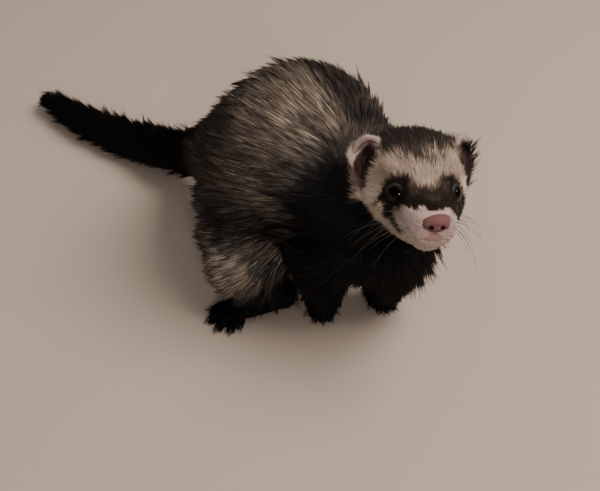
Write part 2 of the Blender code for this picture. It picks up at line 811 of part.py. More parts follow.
def centre_on_floor():
    """Moves the whole model so that the origin is under the middle of its box, on the floor."""
    low, high = Vector((1e9,) * 3), Vector((-1e9,) * 3)
    for obj in PARTS.objects:
        for vertex in obj.data.vertices:
            low = Vector(map(min, low, vertex.co))
            high = Vector(map(max, high, vertex.co))
    shift = Vector((-(low.x + high.x) / 2, -(low.y + high.y) / 2, -low.z))
    for obj in PARTS.objects:
        obj.data.transform(Matrix.Translation(shift))


build()
centre_on_floor()
for leftover in list(CUTTERS.objects):
    bpy.data.objects.remove(leftover, do_unlink=True)
bpy.data.collections.remove(LOCKS)
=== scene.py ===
import json
import math

import bpy
import numpy as np
from mathutils import Matrix, Vector
from mathutils.bvhtree import BVHTree
from mathutils.kdtree import KDTree

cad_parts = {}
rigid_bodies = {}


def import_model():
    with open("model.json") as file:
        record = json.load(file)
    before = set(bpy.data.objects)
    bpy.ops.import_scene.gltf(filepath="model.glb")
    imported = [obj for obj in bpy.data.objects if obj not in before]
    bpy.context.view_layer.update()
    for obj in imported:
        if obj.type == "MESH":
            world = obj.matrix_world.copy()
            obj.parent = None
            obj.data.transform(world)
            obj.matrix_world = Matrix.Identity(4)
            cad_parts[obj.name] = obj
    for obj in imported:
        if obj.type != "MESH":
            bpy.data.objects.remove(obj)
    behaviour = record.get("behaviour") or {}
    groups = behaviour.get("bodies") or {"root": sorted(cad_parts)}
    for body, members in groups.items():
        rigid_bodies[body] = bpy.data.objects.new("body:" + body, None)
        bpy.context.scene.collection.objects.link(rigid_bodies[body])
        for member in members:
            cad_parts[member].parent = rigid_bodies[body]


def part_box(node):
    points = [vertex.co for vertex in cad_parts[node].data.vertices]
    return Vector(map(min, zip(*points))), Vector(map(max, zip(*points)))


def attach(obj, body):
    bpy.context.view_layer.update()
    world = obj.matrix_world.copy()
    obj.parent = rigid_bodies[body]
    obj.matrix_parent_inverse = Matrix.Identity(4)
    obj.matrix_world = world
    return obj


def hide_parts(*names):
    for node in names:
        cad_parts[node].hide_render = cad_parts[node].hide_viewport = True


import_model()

for spare in [o for o in bpy.data.objects if o.name in ("Cube", "Light", "Camera")]:
    bpy.data.objects.remove(spare)
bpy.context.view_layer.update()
mm = 0.001
pair = (("right", -1), ("left", 1))

# Lengths are millimetres in the animal's own frame: x from tail to head, y to its left, z up, floor at 0.
head = {
    "at": (93.2, 11.3, 90), "yaw": -35.4, "pitch": 23.9, "roll": -5.4,
    # x, half width, top, bottom of the coat in the head's own frame, nose ahead
    "rows": (
        (-36, 11, 12, -12), (-30, 18, 18, -16), (-22, 22, 21.5, -18.5), (-12, 23, 22.5, -19.5),
        (-2, 21.3, 20.5, -19), (8, 17.3, 15.5, -18.5), (15, 13.5, 10, -17.5), (22, 11.3, 5, -16),
        (27, 9.6, 2.3, -14.6), (30, 7, 0.2, -12.5), (31.6, 3.2, -2.5, -9),
    ),
    "skin": 1.5, "muzzleSkin": 0.6,        # how deep the skin lies under the coat
    "eyeAt": (9.6, 10.9, 1.5), "eyeNudge": {-1: (0.3, 0.6), 1: (0, 0)},        # by side: right is -1
    "eyeTurn": {-1: 36, 1: 50}, "eyeLift": 10, "eyeRadius": 4.6, "opening": (4.2, 4.2),
    "earAt": (-8.5, 21.3, 9.2), "earNudge": {"right": (0, 0), "left": (-1.4, 0.3)}, "earShift": (0.6, 0.4),
    "earSize": (7.3, 10.2), "earThick": 2.5, "earDeep": 4.8,
    "earWay": {"right": (0.84, -0.5, 0.12), "left": (0.58, 0.78, 0.15)},
    # centre, radii and way of the forms beside the skull, for the left side
    "whiskerPad": ((16, 5.5, -9.5), (10, 6.6, 6.4), (1, -0.12, -0.05)),
    "brow": ((4, 10.5, 8.5), (7.2, 4.7, 3.7), (1, -0.3, -0.35)),
    "chin": ((22, 0, -14), (6.9, 5.4, 3.4), (1, 0, 0.15)),
    "mouth": ((31.8, 0, -8.0), (31.3, 2.4, -9.1), (30, 4.8, -10.3), (28, 7.4, -11.1), (24, 9.6, -11.3),
              (20, 11, -10.7)),
    "mouthDeep": 0.42, "neckJoint": (-17, 0, 0), "neckWay": (0.93, 0.36),        # ahead and up
}
trunk = {
    # x, y, z, half width, half height of the coat
    "rows": (
        (-48, 4.7, 30, 13, 14), (-26, 2, 42, 19.5, 22), (-5, 0, 54, 26.5, 29.5), (11, -0.5, 65, 32.5, 34.5),
        (21.5, 2, 74.5, 36.5, 37.5), (31, 4.5, 80.5, 38.5, 38), (45.5, 5, 77.5, 35.5, 35.5),
        (62, 6.5, 69, 29.5, 30.5), (78, 10, 62, 21, 24),
    ),
    "neck": ((50, 10, 72, 24, 24), (64, 14, 76, 23.5, 24), (79, 16, 82, 19, 20)),
    "belly": ((34, 2, 46), (35.5, 22.5, 24.5)), "breast": ((66, 6, 49), (21, 20.5, 19.5)),
    "skin": 5.0, "neckSkin": 3.4, "fan": (84, 8, 70),        # the hair lies away from the fan's point
}
tail = {
    "rows": (
        (-48, 4.7, 30, 13.2, 13.8), (-64.5, 3.2, 21.5, 12.5, 13.3), (-90, -1.2, 15, 12, 12.7),
        (-112.5, -7.2, 12, 11, 12.2), (-139.5, -13.3, 11, 9, 10.7), (-163.5, -15.8, 9.5, 6.3, 7.7),
        (-177.5, -17, 8.5, 2.6, 3.4),
    ),
    "skin": 5.0,
}
legs = {
    "fore": {
        "right": ((58, -8, 56), (57, -8, 38), (57.3, -5.8, 13), (56.3, -5.6, 4.6)),
        "left": ((78, 19, 55), (78, 17.5, 37), (74, 18.3, 12.7), (70.6, 19.2, 4.6)),
    },
    "hind": {
        "right": ((17, -10, 44), (26, -31, 25), (41, -18, 6.5), (30.5, -38.5, 4.8)),
        "left": ((17, 17, 44), (27, 32, 25), (41, 22, 6.5), (32.5, 41.5, 4.8)),
    },
    "arms": ((19, 21), (15.5, 16.5), (9.6, 9.8), (7, 6)), "thigh": (33.5, 28.5, 20),
    "shank": ((15, 14), (9, 8)), "skin": 2.6,
}
paws = {
    "ahead": {"foreright": (0.7, -0.71), "foreleft": (0.95, -0.31),
              "hindright": (0.1, -1), "hindleft": (0.15, 1)},
    # each toe's turn from straight ahead, its reach and its half width
    "fore": ((-50, 6, 2.4), (-24, 7.5, 2.7), (-4, 8.1, 2.8), (17, 7.9, 2.8), (42, 6.7, 2.6)),
    "hind": ((-46, 9.6, 2.6), (-28, 11.4, 3), (-6, 12.6, 3.1), (17, 12.2, 3.1), (40, 10.4, 2.9)),
    "wide": {"fore": 13, "hind": 16}, "skin": 0.7, "voxel": 0.6,
}
feet = [(kind, side) for kind in ("fore", "hind") for side, sign in pair]


def unit(v):
    return v / np.maximum(np.linalg.norm(v, axis=-1, keepdims=True), 1e-9)


def ramp(value, low, high):
    t = np.clip((value - low) / (high - low), 0, 1)
    return t * t * (3 - 2 * t)


def fall(value, low, high):
    return 1 - ramp(value, low, high)


def bell(value):
    return np.exp(-(value ** 2))


def distance(v):
    return np.linalg.norm(v, axis=1)


def axes(forward, up=(0, 0, 1)):
    x = unit(np.array(forward, float))
    up = np.array(up, float)
    if abs(x @ up) > 0.999:
        up = np.array((1.0, 0, 0))
    y = unit(np.cross(up, x))
    return np.array((x, y, np.cross(x, y))).T


def headTurn():
    turn = Matrix.Rotation(math.radians(head["yaw"]), 3, "Z")
    turn @= Matrix.Rotation(math.radians(-head["pitch"]), 3, "Y")
    return np.array(turn @ Matrix.Rotation(math.radians(head["roll"]), 3, "X"))


turned = headTurn()
headAt = np.array(head["at"], float)


def inHead(point):
    return headAt + np.asarray(point, float) @ turned.T


def headWay(way):
    return np.asarray(way, float) @ turned.T


def fromHead(points):
    return (points - headAt) @ turned


def eyeCentre(sign):
    x, y, z = head["eyeAt"]
    ahead, aside = head["eyeNudge"][sign]
    return inHead((x + ahead, sign * y + aside, z))


def eyeAxes(sign):
    turn, lift = math.radians(head["eyeTurn"][sign]), math.radians(head["eyeLift"])
    way = (math.cos(turn) * math.cos(lift), sign * math.sin(turn) * math.cos(lift), math.sin(lift))
    return axes(headWay(way), headWay((0, 0, 1)))


def fromEye(points, sign):
    return (points - eyeCentre(sign)) @ eyeAxes(sign)


def atEye(points, sign):
    return eyeCentre(sign) + points @ eyeAxes(sign).T


def earAxes(side, sign):
    return axes(headWay(head["earWay"][side]), headWay((-0.1, sign * -0.2, 1)))


def earCentre(side, sign):
    x, y, z = head["earAt"]
    across, up = head["earShift"]
    aside, raised = head["earNudge"][side]
    return inHead((x, sign * (y + aside), z + raised)) + earAxes(side, sign) @ (0, -sign * across, up)


# from the animal's frame to the model's
low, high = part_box("eye_left")
shift = (np.array(low) + np.array(high)) / 2 / mm - eyeCentre(1)


def linked(name, data):
    obj = bpy.data.objects.new(name, data)
    bpy.context.scene.collection.objects.link(obj)
    return obj


def newMesh(name, points, faces, smooth=True):
    mesh = bpy.data.meshes.new(name)
    mesh.from_pydata(((points + shift) * mm).tolist(), [], [tuple(f) for f in faces])
    if smooth:
        mesh.shade_smooth()
    return linked(name, mesh)


def meshPoints(obj):
    found = np.zeros(len(obj.data.vertices) * 3)
    obj.data.vertices.foreach_get("co", found)
    return found.reshape(-1, 3) / mm - shift


def applied(obj):
    graph = bpy.context.evaluated_depsgraph_get()
    made = bpy.data.meshes.new_from_object(obj.evaluated_get(graph))
    obj.modifiers.clear()
    obj.data = made
    return obj


def boolean(obj, other, operation="DIFFERENCE"):
    step = obj.modifiers.new("Boolean", "BOOLEAN")
    step.operation = operation
    step.solver = "MANIFOLD"
    step.object = other
    applied(obj)
    bpy.data.objects.remove(other)
    return obj


def curveRows(rows, steps):
    # rows with steps - 1 more between each two, on Catmull-Rom curves
    table = [np.array(r, float) for r in rows]
    table = [2 * table[0] - table[1], *table, 2 * table[-1] - table[-2]]
    made = []
    for i in range(1, len(table) - 2):
        a, b, c, d = table[i - 1 : i + 3]
        for k in range(steps):
            t = k / steps
            made.append(0.5 * (2 * b + (c - a) * t + (2 * a - 5 * b + 4 * c - d) * t * t
                               + (3 * b - a - 3 * c + d) * t ** 3))
    return [*made, table[-2]]


def loft(rings):
    # a closed form through rings of points
    count, sides = len(rings), len(rings[0])
    points = [p for ring in rings for p in ring] + [np.mean(rings[0], 0), np.mean(rings[-1], 0)]
    faces = []
    for r in range(count - 1):
        for i in range(sides):
            j = (i + 1) % sides
            faces.append((r * sides + i, r * sides + j, (r + 1) * sides + j, (r + 1) * sides + i))
    last = (count - 1) * sides
    for i in range(sides):
        j = (i + 1) % sides
        faces.append((j, i, count * sides))
        faces.append((last + i, last + j, count * sides + 1))
    return np.array(points), faces


def circle(sides):
    angle = math.tau * np.arange(sides) / sides
    return np.cos(angle), np.sin(angle)


def flatRing(x, across, up):
    return np.stack([0 * across + x, across, up], 1)


def tube(rows, steps=4, sides=28, up=(0, 0, 1)):
    rows = curveRows(rows, steps)
    across, rise = circle(sides)
    rings = []
    for i, row in enumerate(rows):
        turn = axes(rows[min(i + 1, len(rows) - 1)][:3] - rows[max(i - 1, 0)][:3], up)
        rings.append(row[:3] + flatRing(0, row[3] * across, row[4] * rise) @ turn.T)
    return loft(rings)


def ball(centre, radii, forward=(1, 0, 0), up=(0, 0, 1), detail=24):
    turn = axes(forward, up)
    across, rise = circle(detail)
    rings = []
    for i in range(1, detail // 2):
        lean = math.pi * i / (detail // 2)
        flat = flatRing(-math.cos(lean), math.sin(lean) * across, math.sin(lean) * rise)
        rings.append(np.array(centre, float) + (flat * radii) @ turn.T)
    return loft(rings)


def headBall(form, sign=1, less=0):
    (x, y, z), radii, (ahead, aside, up) = head[form]
    return ball(inHead((x, sign * y, z)), [r - less for r in radii], headWay((ahead, sign * aside, up)))


def skull(sides=36):
    across, rise = circle(sides)
    full = (1 + 0.24 * (across * rise) ** 2) * (1 - 0.09 * rise)        # squarer, and fuller below
    rings = []
    for x, wide, top, bottom in curveRows(head["rows"], 5):
        deep = head["skin"] + (head["muzzleSkin"] - head["skin"]) * float(ramp(x, 8, 24))
        deep = min(deep, wide * 0.2)
        wide, top, bottom = wide - deep, top - deep, bottom + deep
        middle, half = (top + bottom) / 2, (top - bottom) / 2
        rings.append(inHead(flatRing(x, wide * across * full, middle + half * rise * full)))
    return loft(rings)


def earCup(side, sign, rows=9, sides=32):
    # a round cupped ear with a rolled rim, open to the front and outward
    wide, tall = head["earSize"]
    thick, rim = head["earThick"], 0.8
    turn, centre = earAxes(side, sign), earCentre(side, sign)
    across, rise = circle(sides)

    def ringAt(x, reach):
        return centre + flatRing(x, wide * reach * across, tall * reach * rise) @ turn.T

    rings = []
    for way in (-1, 1):        # the back, then the front
        for r in range(rows + 1):
            share = max((r if way < 0 else rows - r) / rows, 0.04)
            back = -head["earDeep"] * (1 - share * share) + rim * share ** 3
            swell = thick * (0.35 + 0.65 * math.sin(math.pi * min(1, 0.5 + share * 0.5)) ** 0.5)
            if share == 1:
                rings.append(ringAt(back - thick * 0.5 + way * thick * 0.28, share - 0.06))
            else:
                rings.append(ringAt(back + way * swell * 0.5 - thick * 0.5, share))
        if way < 0:
            rings.append(ringAt(rim - thick * 0.5, 1))
    return loft(rings)


def earRoll(side, sign, steps=12):
    # the thick rolled edge, from the outer foot of the ear over its top
    wide, tall = head["earSize"]
    turn, centre = earAxes(side, sign), earCentre(side, sign)
    rows = []
    for k in range(steps + 1):
        t = k / steps
        angle = math.radians(215 - 170 * t)
        thick = 0.6 + 0.8 * math.sin(math.pi * min(1, 0.12 + t * 0.95)) ** 0.7
        place = centre + turn @ (-0.6, -sign * wide * 0.92 * math.cos(angle), tall * 0.94 * math.sin(angle))
        rows.append((*place, thick, thick))
    return tube(rows, steps=2, sides=14, up=tuple(turn[:, 0]))


def joined(forms):
    points = np.concatenate([form[0] for form in forms])
    faces, start = [], 0
    for form in forms:
        faces += [tuple(i + start for i in face) for face in form[1]]
        start += len(form[0])
    return points, faces


def fuse(name, forms, voxel, rounds):
    # one smooth skin over all the forms
    obj = newMesh(name, *joined(forms))
    remesh = obj.modifiers.new("Remesh", "REMESH")
    remesh.mode = "VOXEL"
    remesh.voxel_size = voxel * mm
    smooth = obj.modifiers.new("Smooth", "SMOOTH")
    smooth.factor = 0.5
    smooth.iterations = rounds
    return applied(obj)


def thinner(rows, by):
    return [(*r[:3], r[3] - min(by, r[3] * 0.45), r[4] - min(by, r[4] * 0.45)) for r in rows]


def limb(joints, sizes, by):
    rows = [(*joint, size[0] - by, size[1] - by) for joint, size in zip(joints, sizes)]
    return tube(rows, sides=20, up=(1, 0, 0))


def joints(kind, side):
    return [np.array(p, float) for p in legs[kind][side]]


def bodySkin():
    deep, legDeep = trunk["skin"], legs["skin"]
    forms = [tube(thinner(trunk["rows"], deep)), tube(thinner(trunk["neck"], trunk["neckSkin"]))]
    rows = [(x, y, z - min(deep, tall * 0.45) * 0.4, wide, tall) for x, y, z, wide, tall in tail["rows"]]
    forms += [tube(thinner(rows, tail["skin"])), tube(thinner(trunk["rows"][:2], deep))]
    forms += [ball(*trunk["belly"]), ball(*trunk["breast"])]
    for side, sign in pair:
        forms.append(limb(legs["fore"][side], legs["arms"], legDeep))
        hip, knee, heel = joints("hind", side)[:3]
        for joint, size in zip((hip, (hip + knee) / 2, knee), legs["thigh"]):
            size -= deep + 0.6
            forms.append(ball(joint, (size, size * 0.92, size)))
        forms.append(limb((knee, heel), legs["shank"], legDeep))
    return fuse("skin", forms, 1.3, 5)


def headSkin():
    forms = [skull(), tube(thinner(trunk["neck"], trunk["neckSkin"]))]
    for side, sign in pair:
        forms += [headBall("whiskerPad", sign, head["muzzleSkin"]), headBall("brow", sign)]
        forms += [earCup(side, sign), earRoll(side, sign)]
    forms.append(headBall("chin"))
    obj = fuse("headSkin", forms, 0.6, 3)
    wide, tall = head["opening"]
    for side, sign in pair:
        rows = [(x, 0, 0, wide * s, tall * s) for x, s in ((0, 0.9), (2.4, 1), (3.6, 1.05), (9, 1.5))]
        shape, faces = tube(rows, steps=2, sides=28)
        boolean(obj, newMesh("opening", atEye(shape, sign), faces))
        boolean(obj, newMesh("socket", *ball(eyeCentre(sign), (head["eyeRadius"] + 0.25,) * 3, detail=32)))
    near = BVHTree.FromPolygons(meshPoints(obj).tolist(), [tuple(f.vertices) for f in obj.data.polygons])
    line = [(x, -y, z) for x, y, z in head["mouth"][:0:-1]] + list(head["mouth"])
    rows = []
    for k, place in enumerate(line):
        on, out = near.find_nearest(Vector(inHead(place)))[:2]
        thin = head["mouthDeep"] - 0.3 * abs(k / (len(line) - 1) * 2 - 1)        # shallower at the corners
        rows.append((*(np.array(on) - np.array(out) * 0.05), thin * 1.3, thin * 0.8))
    return boolean(obj, newMesh("mouth", *tube(rows, steps=3, sides=10, up=tuple(headWay((0, 0, 1))))))


def toes(kind, side):
    # each toe's root, tip, way and half width
    pad = joints(kind, side)[3]
    ahead = unit(np.array((*paws["ahead"][kind + side], 0.0)))
    sign = 1 if side == "right" else -1
    made = []
    for turn, reach, thick in paws[kind]:
        spin = math.radians(-turn * 1.2 * sign)
        way = np.array((ahead[0] * math.cos(spin) - ahead[1] * math.sin(spin),
                        ahead[0] * math.sin(spin) + ahead[1] * math.cos(spin), 0))
        aside = math.sin(math.radians(turn)) * sign * paws["wide"][kind] * 0.42
        root, tip = pad + np.array((ahead[1], -ahead[0], 0)) * aside, pad + way * reach
        root[2], tip[2] = 3.6, 2.5
        made.append((root, tip, way, thick))
    return made


def pawSkin(kind, side):
    deep, wide = paws["skin"], paws["wide"][kind]
    ahead = np.array((*paws["ahead"][kind + side], 0.0))
    knee, heel, pad = joints(kind, side)[1:]        # on a foreleg the elbow, wrist and pad
    forms = [ball(pad - ahead * 1.8, (wide * 0.42 - deep, wide * 0.44 - deep, 4.8 - deep), ahead)]
    if kind == "fore":
        forms.append(limb((knee, heel), ((9, 9), (7.6, 8)), deep + 0.6))
        forms.append(ball((heel + pad) / 2, (8 - deep, 7.6 - deep, 6.5 - deep)))
    else:
        middle = (heel + pad) / 2
        forms.append(tube(((*heel, 5.4, 5.9), (*middle, 6.4, 5.9), (*pad, 7.4, 4.4)), sides=20))
        forms += [ball(heel, (5.8, 5.4, 6)), ball(middle + (knee - middle) * 0.45, (9.8, 9.8, 7.8))]
    for root, tip, way, thick in toes(kind, side):
        thin = thick * 0.66
        middle = (root + tip) / 2
        rows = ((*root, thin, thin), (*(middle + np.array((0, 0, 0.7))), thin * 1.05, thin * 1.1),
                (*tip, thin * 0.8, thin * 0.9))
        forms += [tube(rows, sides=14), ball(tip, (thin, thin * 0.9, thin), way, detail=14)]
        forms.append(ball(middle - np.array((0, 0, 1.4)), (thin * 0.9, thin * 0.8, 1.6), way, detail=14))
    paw = fuse(kind + side, forms, paws["voxel"], 2)
    # a block that cuts the sole flat, just clear of the floor
    block = np.array([(x, y, z) for x in (-60, 60) for y in (-60, 60) for z in (-60.0, 0.06)])
    block = block + pad * (1, 1, 0)
    faces = ((0, 1, 3, 2), (4, 6, 7, 5), (0, 4, 5, 1), (2, 3, 7, 6), (0, 2, 6, 4), (1, 5, 7, 3))
    return boolean(paw, newMesh("block", block, faces, False))


def wholeSkin():
    skin = bodySkin()
    for kind, side in feet:
        boolean(skin, pawSkin(kind, side), "UNION")
    boolean(skin, headSkin(), "UNION")
    print("skin", len(skin.data.polygons), "faces")
    return skin


skin = wholeSkin()

# Where each kind of hair grows, and how it looks there


def zones(p):
    # weights of each part of the animal at points p, which add up to one
    h = fromHead(p)
    along, rise = head["neckWay"]
    ahead = (h[:, 0] - head["neckJoint"][0]) * along + h[:, 2] * rise
    inBall = fall((((h - (8, 0, 0)) / (50, 38, 35)) ** 2).sum(1), 0.85, 1.25)
    wide, tall = head["earSize"]
    w = {}
    ear = np.zeros(len(p))
    for side, sign in pair:
        off = (p - earCentre(side, sign)) @ earAxes(side, sign)
        flat = np.hypot(off[:, 1] / wide, off[:, 2] / tall)
        one = fall(flat, 1.08, 1.25) * fall(abs(off[:, 0] + 2.6), 4.4, 5.6)
        ear = np.maximum(ear, one * ramp(h[:, 1] * sign, 15.5, 18.5))
    headW = ramp(ahead, -6, 7) * inBall
    w["ear"] = ear * ramp(ahead, -8, -2)
    w["head"] = headW * (1 - w["ear"])
    muzzle = ramp(h[:, 0], 15, 25)
    w["muzzle"] = w["head"] * muzzle
    w["head"] = w["head"] * (1 - muzzle)
    rest = 1 - w["ear"] - w["head"] - w["muzzle"]
    tailW = fall(p[:, 0], -58, -40)
    w["tail"] = rest * tailW
    rest = rest - w["tail"]
    paw = fall(p[:, 2], 6.5, 12) * ramp(p[:, 0], -20, 0)
    w["paw"] = rest * paw
    rest = rest - w["paw"]
    leg = np.where(p[:, 0] > 47, fall(p[:, 2], 18, 42), fall(p[:, 2], 12, 26))
    w["leg"] = rest * leg
    w["trunk"] = rest * (1 - leg)
    neck = fall(distance(h - (-20, 0, -4)), 24, 46)
    w["neck"] = w["trunk"] * neck
    w["trunk"] = w["trunk"] * (1 - neck)
    return w


coat = {
    # length, lift of the tip, width, hairs per square millimetre
    "trunk": (16, 4.9, 0.35, 2.0), "neck": (10, 3.8, 0.32, 2.0), "tail": (15, 6.0, 0.38, 1.9),
    "leg": (9, 3.6, 0.32, 2.2), "paw": (2.5, 0.6, 0.24, 4.6), "head": (4.6, 1.3, 0.2, 5.2),
    "muzzle": (1.9, 0.6, 0.16, 8.5), "ear": (1.6, 0.45, 0.17, 6.5),
}


def mixed(w, column):
    return sum(w[name] * coat[name][column] for name in coat)


def wobble(p, scale, seed):
    # smooth noise from about -1 to 1
    draw = np.random.default_rng(seed)
    total = np.zeros(len(p))
    for k in range(5):
        way = unit(draw.normal(size=3)) * draw.uniform(0.7, 1.5) * 3.0 / scale
        total += np.sin(p @ way + draw.uniform(0, 6.3))
    return total / 2.6        # the five waves together seldom pass this


def capsule(h, a, b, wideA, wideB):
    # distance outside a tapered rod from a to b
    a, b = np.array(a, float), np.array(b, float)
    t = np.clip(((h - a) @ (b - a)) / ((b - a) @ (b - a)), 0, 1)
    return np.linalg.norm(h - a - t[:, None] * (b - a), axis=1) - (wideA + (wideB - wideA) * t)


def earParts(p, normals):
    # how far points lie on the pale rim, in the dark inside of the cup and on the back of the ears; that dark
    # is partly dark hair and partly painted shade
    rim, shadedHollow, back = 0 * p[:, 0], 0 * p[:, 0], 0 * p[:, 0]
    for side, sign in pair:
        turn = earAxes(side, sign)
        off = (p - earCentre(side, sign)) @ turn
        across, up = -sign * off[:, 1], off[:, 2]        # across runs towards the nose
        near = distance(off) < 15
        front = ramp(normals @ turn[:, 0], -0.25, 0.15) * near
        inside = fall(np.hypot((across - 2.1) / 6.7, (up + 0.8) / 9.0), 0.88, 1.04)
        share = np.hypot(across / head["earSize"][0], up / head["earSize"][1])
        edge = ramp(share, 0.5, 0.64) * ramp(up, -6.5, -2.5)
        front = np.maximum(front, near * fall(up, -7.5, -4.5))
        inside = np.maximum(inside, 0.7 * fall(up, -6.5, -3.5) * fall(across, 1, 4))
        if side == "left":
            inside = np.maximum(inside, fall(up, 4, 7.5))
        rim = np.maximum(rim, front * (1 - inside))
        rim = np.maximum(rim, near * (1 - front) * edge)
        shadedHollow = np.maximum(shadedHollow, front * inside)
        back = np.maximum(back, near * (1 - front) * (1 - edge))
    return rim, shadedHollow, back


face = {
    # across the face from its right to its left: how far down the snout the dark mask begins and ends
    "across": (-17.8, -16.8, -15.8, -14.6, -13, -10.5, -7.4, -5.8, -4.4, -2.8,
               -0.9, 2.8, 4.4, 5.4, 6.8, 10.6, 14.5, 17, 19, 21),
    "top": (7.5, 4.5, 2.4, 1.6, 1.2, 1.2, 4.4, 7.8, 10, 11.2, 11.8, 10.4, 7.4, 5.2, 2.6, 1, 1.4, 1.6, 3.4, 8),
    "low": (7.5, 9.5, 12, 14, 16.8, 19.6, 25.4, 26.8, 24.8, 28.4,
            29.4, 28.8, 26.6, 24.4, 27, 26, 24, 21, 16, 8),
    # from, to, and the half width at each end, for the left side
    "streak": ((12.6, 15.4, -5.6), (19.6, 11.6, -10.8), 3.6, 2.4),
    "underEar": ((-7, 21.4, 5.5), (-5.4, 22.4, -0.5), 2.3, 1.8),
    "browSpots": ((15.8, -8.1, 6.1), (13.7, 8.7, 7.4)),
}
shade = {
    # undercoat, guard hair and warmth of each marking; 0 is black or cool, 1 white or warm
    "flank": (0.41, 0.05, 0.6), "rump": (0.2, 0.025, 0.5), "band": (0.08, 0.02, 0.4),
    "thigh": (0.72, 0.16, 0.7), "spine": (0.125, 0.03, 0.6), "tail": (0.045, 0.018, 0.25),
    "jaw": (0.78, 0.66, 0.95), "crown": (0.2, 0.045, 0.6), "snout": (0.72, 0.72, 0.35),
    "pads": (0.34, 0.32, 0.5), "mask": (0.055, 0.033, 1),
    "underEar": (0.12, 0.07, 0.6), "eyeArc": (0.34, 0.3, 0.6), "eyeRing": (0.055, 0.035, 0.6),
    "streak": (0.06, 0.045, 0.8), "browSpot": (0.44, 0.4, 0.4), "rim": (0.74, 0.73, 0.6),
    "shadedHollow": (0.085, 0.05, 0.55), "earBack": (0.14, 0.06, 0.4), "nostril": (0.02, 0.02, 0.8),
    "lip": (0.52, 0.52, 0.3), "seamShade": (0.3, 0.3, 0.4),
}


def mouthLine(y):
    path = np.array(head["mouth"])
    return np.interp(abs(y), path[:, 1], path[:, 2])


def lipShare(h):
    # how far points in the head's frame lie on the bare lower lip
    below = mouthLine(h[:, 1] * 0.85) - h[:, 2]
    deep = 3.4 - 0.16 * h[:, 1] ** 2
    ends = fall(abs(h[:, 1]), 2.8, 4.6) * ramp(h[:, 0], 25, 27)
    return ramp(below, -0.8, 0.6) * fall(below, deep - 1.8, deep + 1) * ends


def lay(shades, mask, colour):
    for k in range(3):
        shades[k] = shades[k] + (colour[k] - shades[k]) * mask


def bodyMarks(shades, p, h, rag):
    # palest on top behind the shoulders, darker down the flank and over the rump, a light patch on each thigh
    x, y, z = p.T
    aside = abs(y - 2)
    lay(shades, fall(z + rag * 3, 56, 106) * 0.8, shade["flank"])
    lay(shades, fall(x + rag * 4, -4, 36) * 0.9, shade["rump"])
    band = bell((z + rag * 2 - 53) / 7.5) * ramp(aside, 18, 26) * ramp(x, 6, 18) * fall(x, 44, 54)
    lay(shades, band * 0.92, shade["band"])
    for side in (-40, 44):
        patch = fall(distance((p - (36, side, 32)) / (17, 30, 14)) + rag * 0.08, 0.4, 1.15)
        lay(shades, patch * 0.9, shade["thigh"])
    crest = 6 + 0.22 * np.maximum(0, 46 - x)
    spine = ramp(y + rag * 1.5, crest - 5, crest + 5) * fall(y, 26, 40) * ramp(z, 78, 98)
    lay(shades, spine * (0.88 - 0.3 * fall(z, 96, 110)), shade["spine"])
    lay(shades, fall(x + rag * 2, -38, -17), shade["tail"])

    # black over the shoulders and forelegs, on the feet and in front of the thighs, and painted shade on the
    # belly
    bulge = (5.5 + 7 * ramp(z, 46, 54)) * ramp(aside, 20, 27) * fall(z, 66, 80)
    edge = 39 + np.maximum(-6, z - 50) * 0.37 + bulge
    under = fall(z, 32, 44)
    blackAndShade = ramp(x + rag * 3 - edge, -9, 7)
    # the last of these darkens the low belly: painted shade under the body
    for more in (fall(z + rag * 2.5, 13, 21), ramp(x + rag * 2, 42, 49) * under, fall(aside, 18, 26) * under):
        blackAndShade = np.maximum(blackAndShade, more)
    nape = ramp(h[:, 2], 6, 15) * ramp(x, 52, 64)
    lay(shades, blackAndShade, (0.028 + 0.17 * nape, 0.01 + 0.03 * nape, 0.15 + 0.2 * nape))


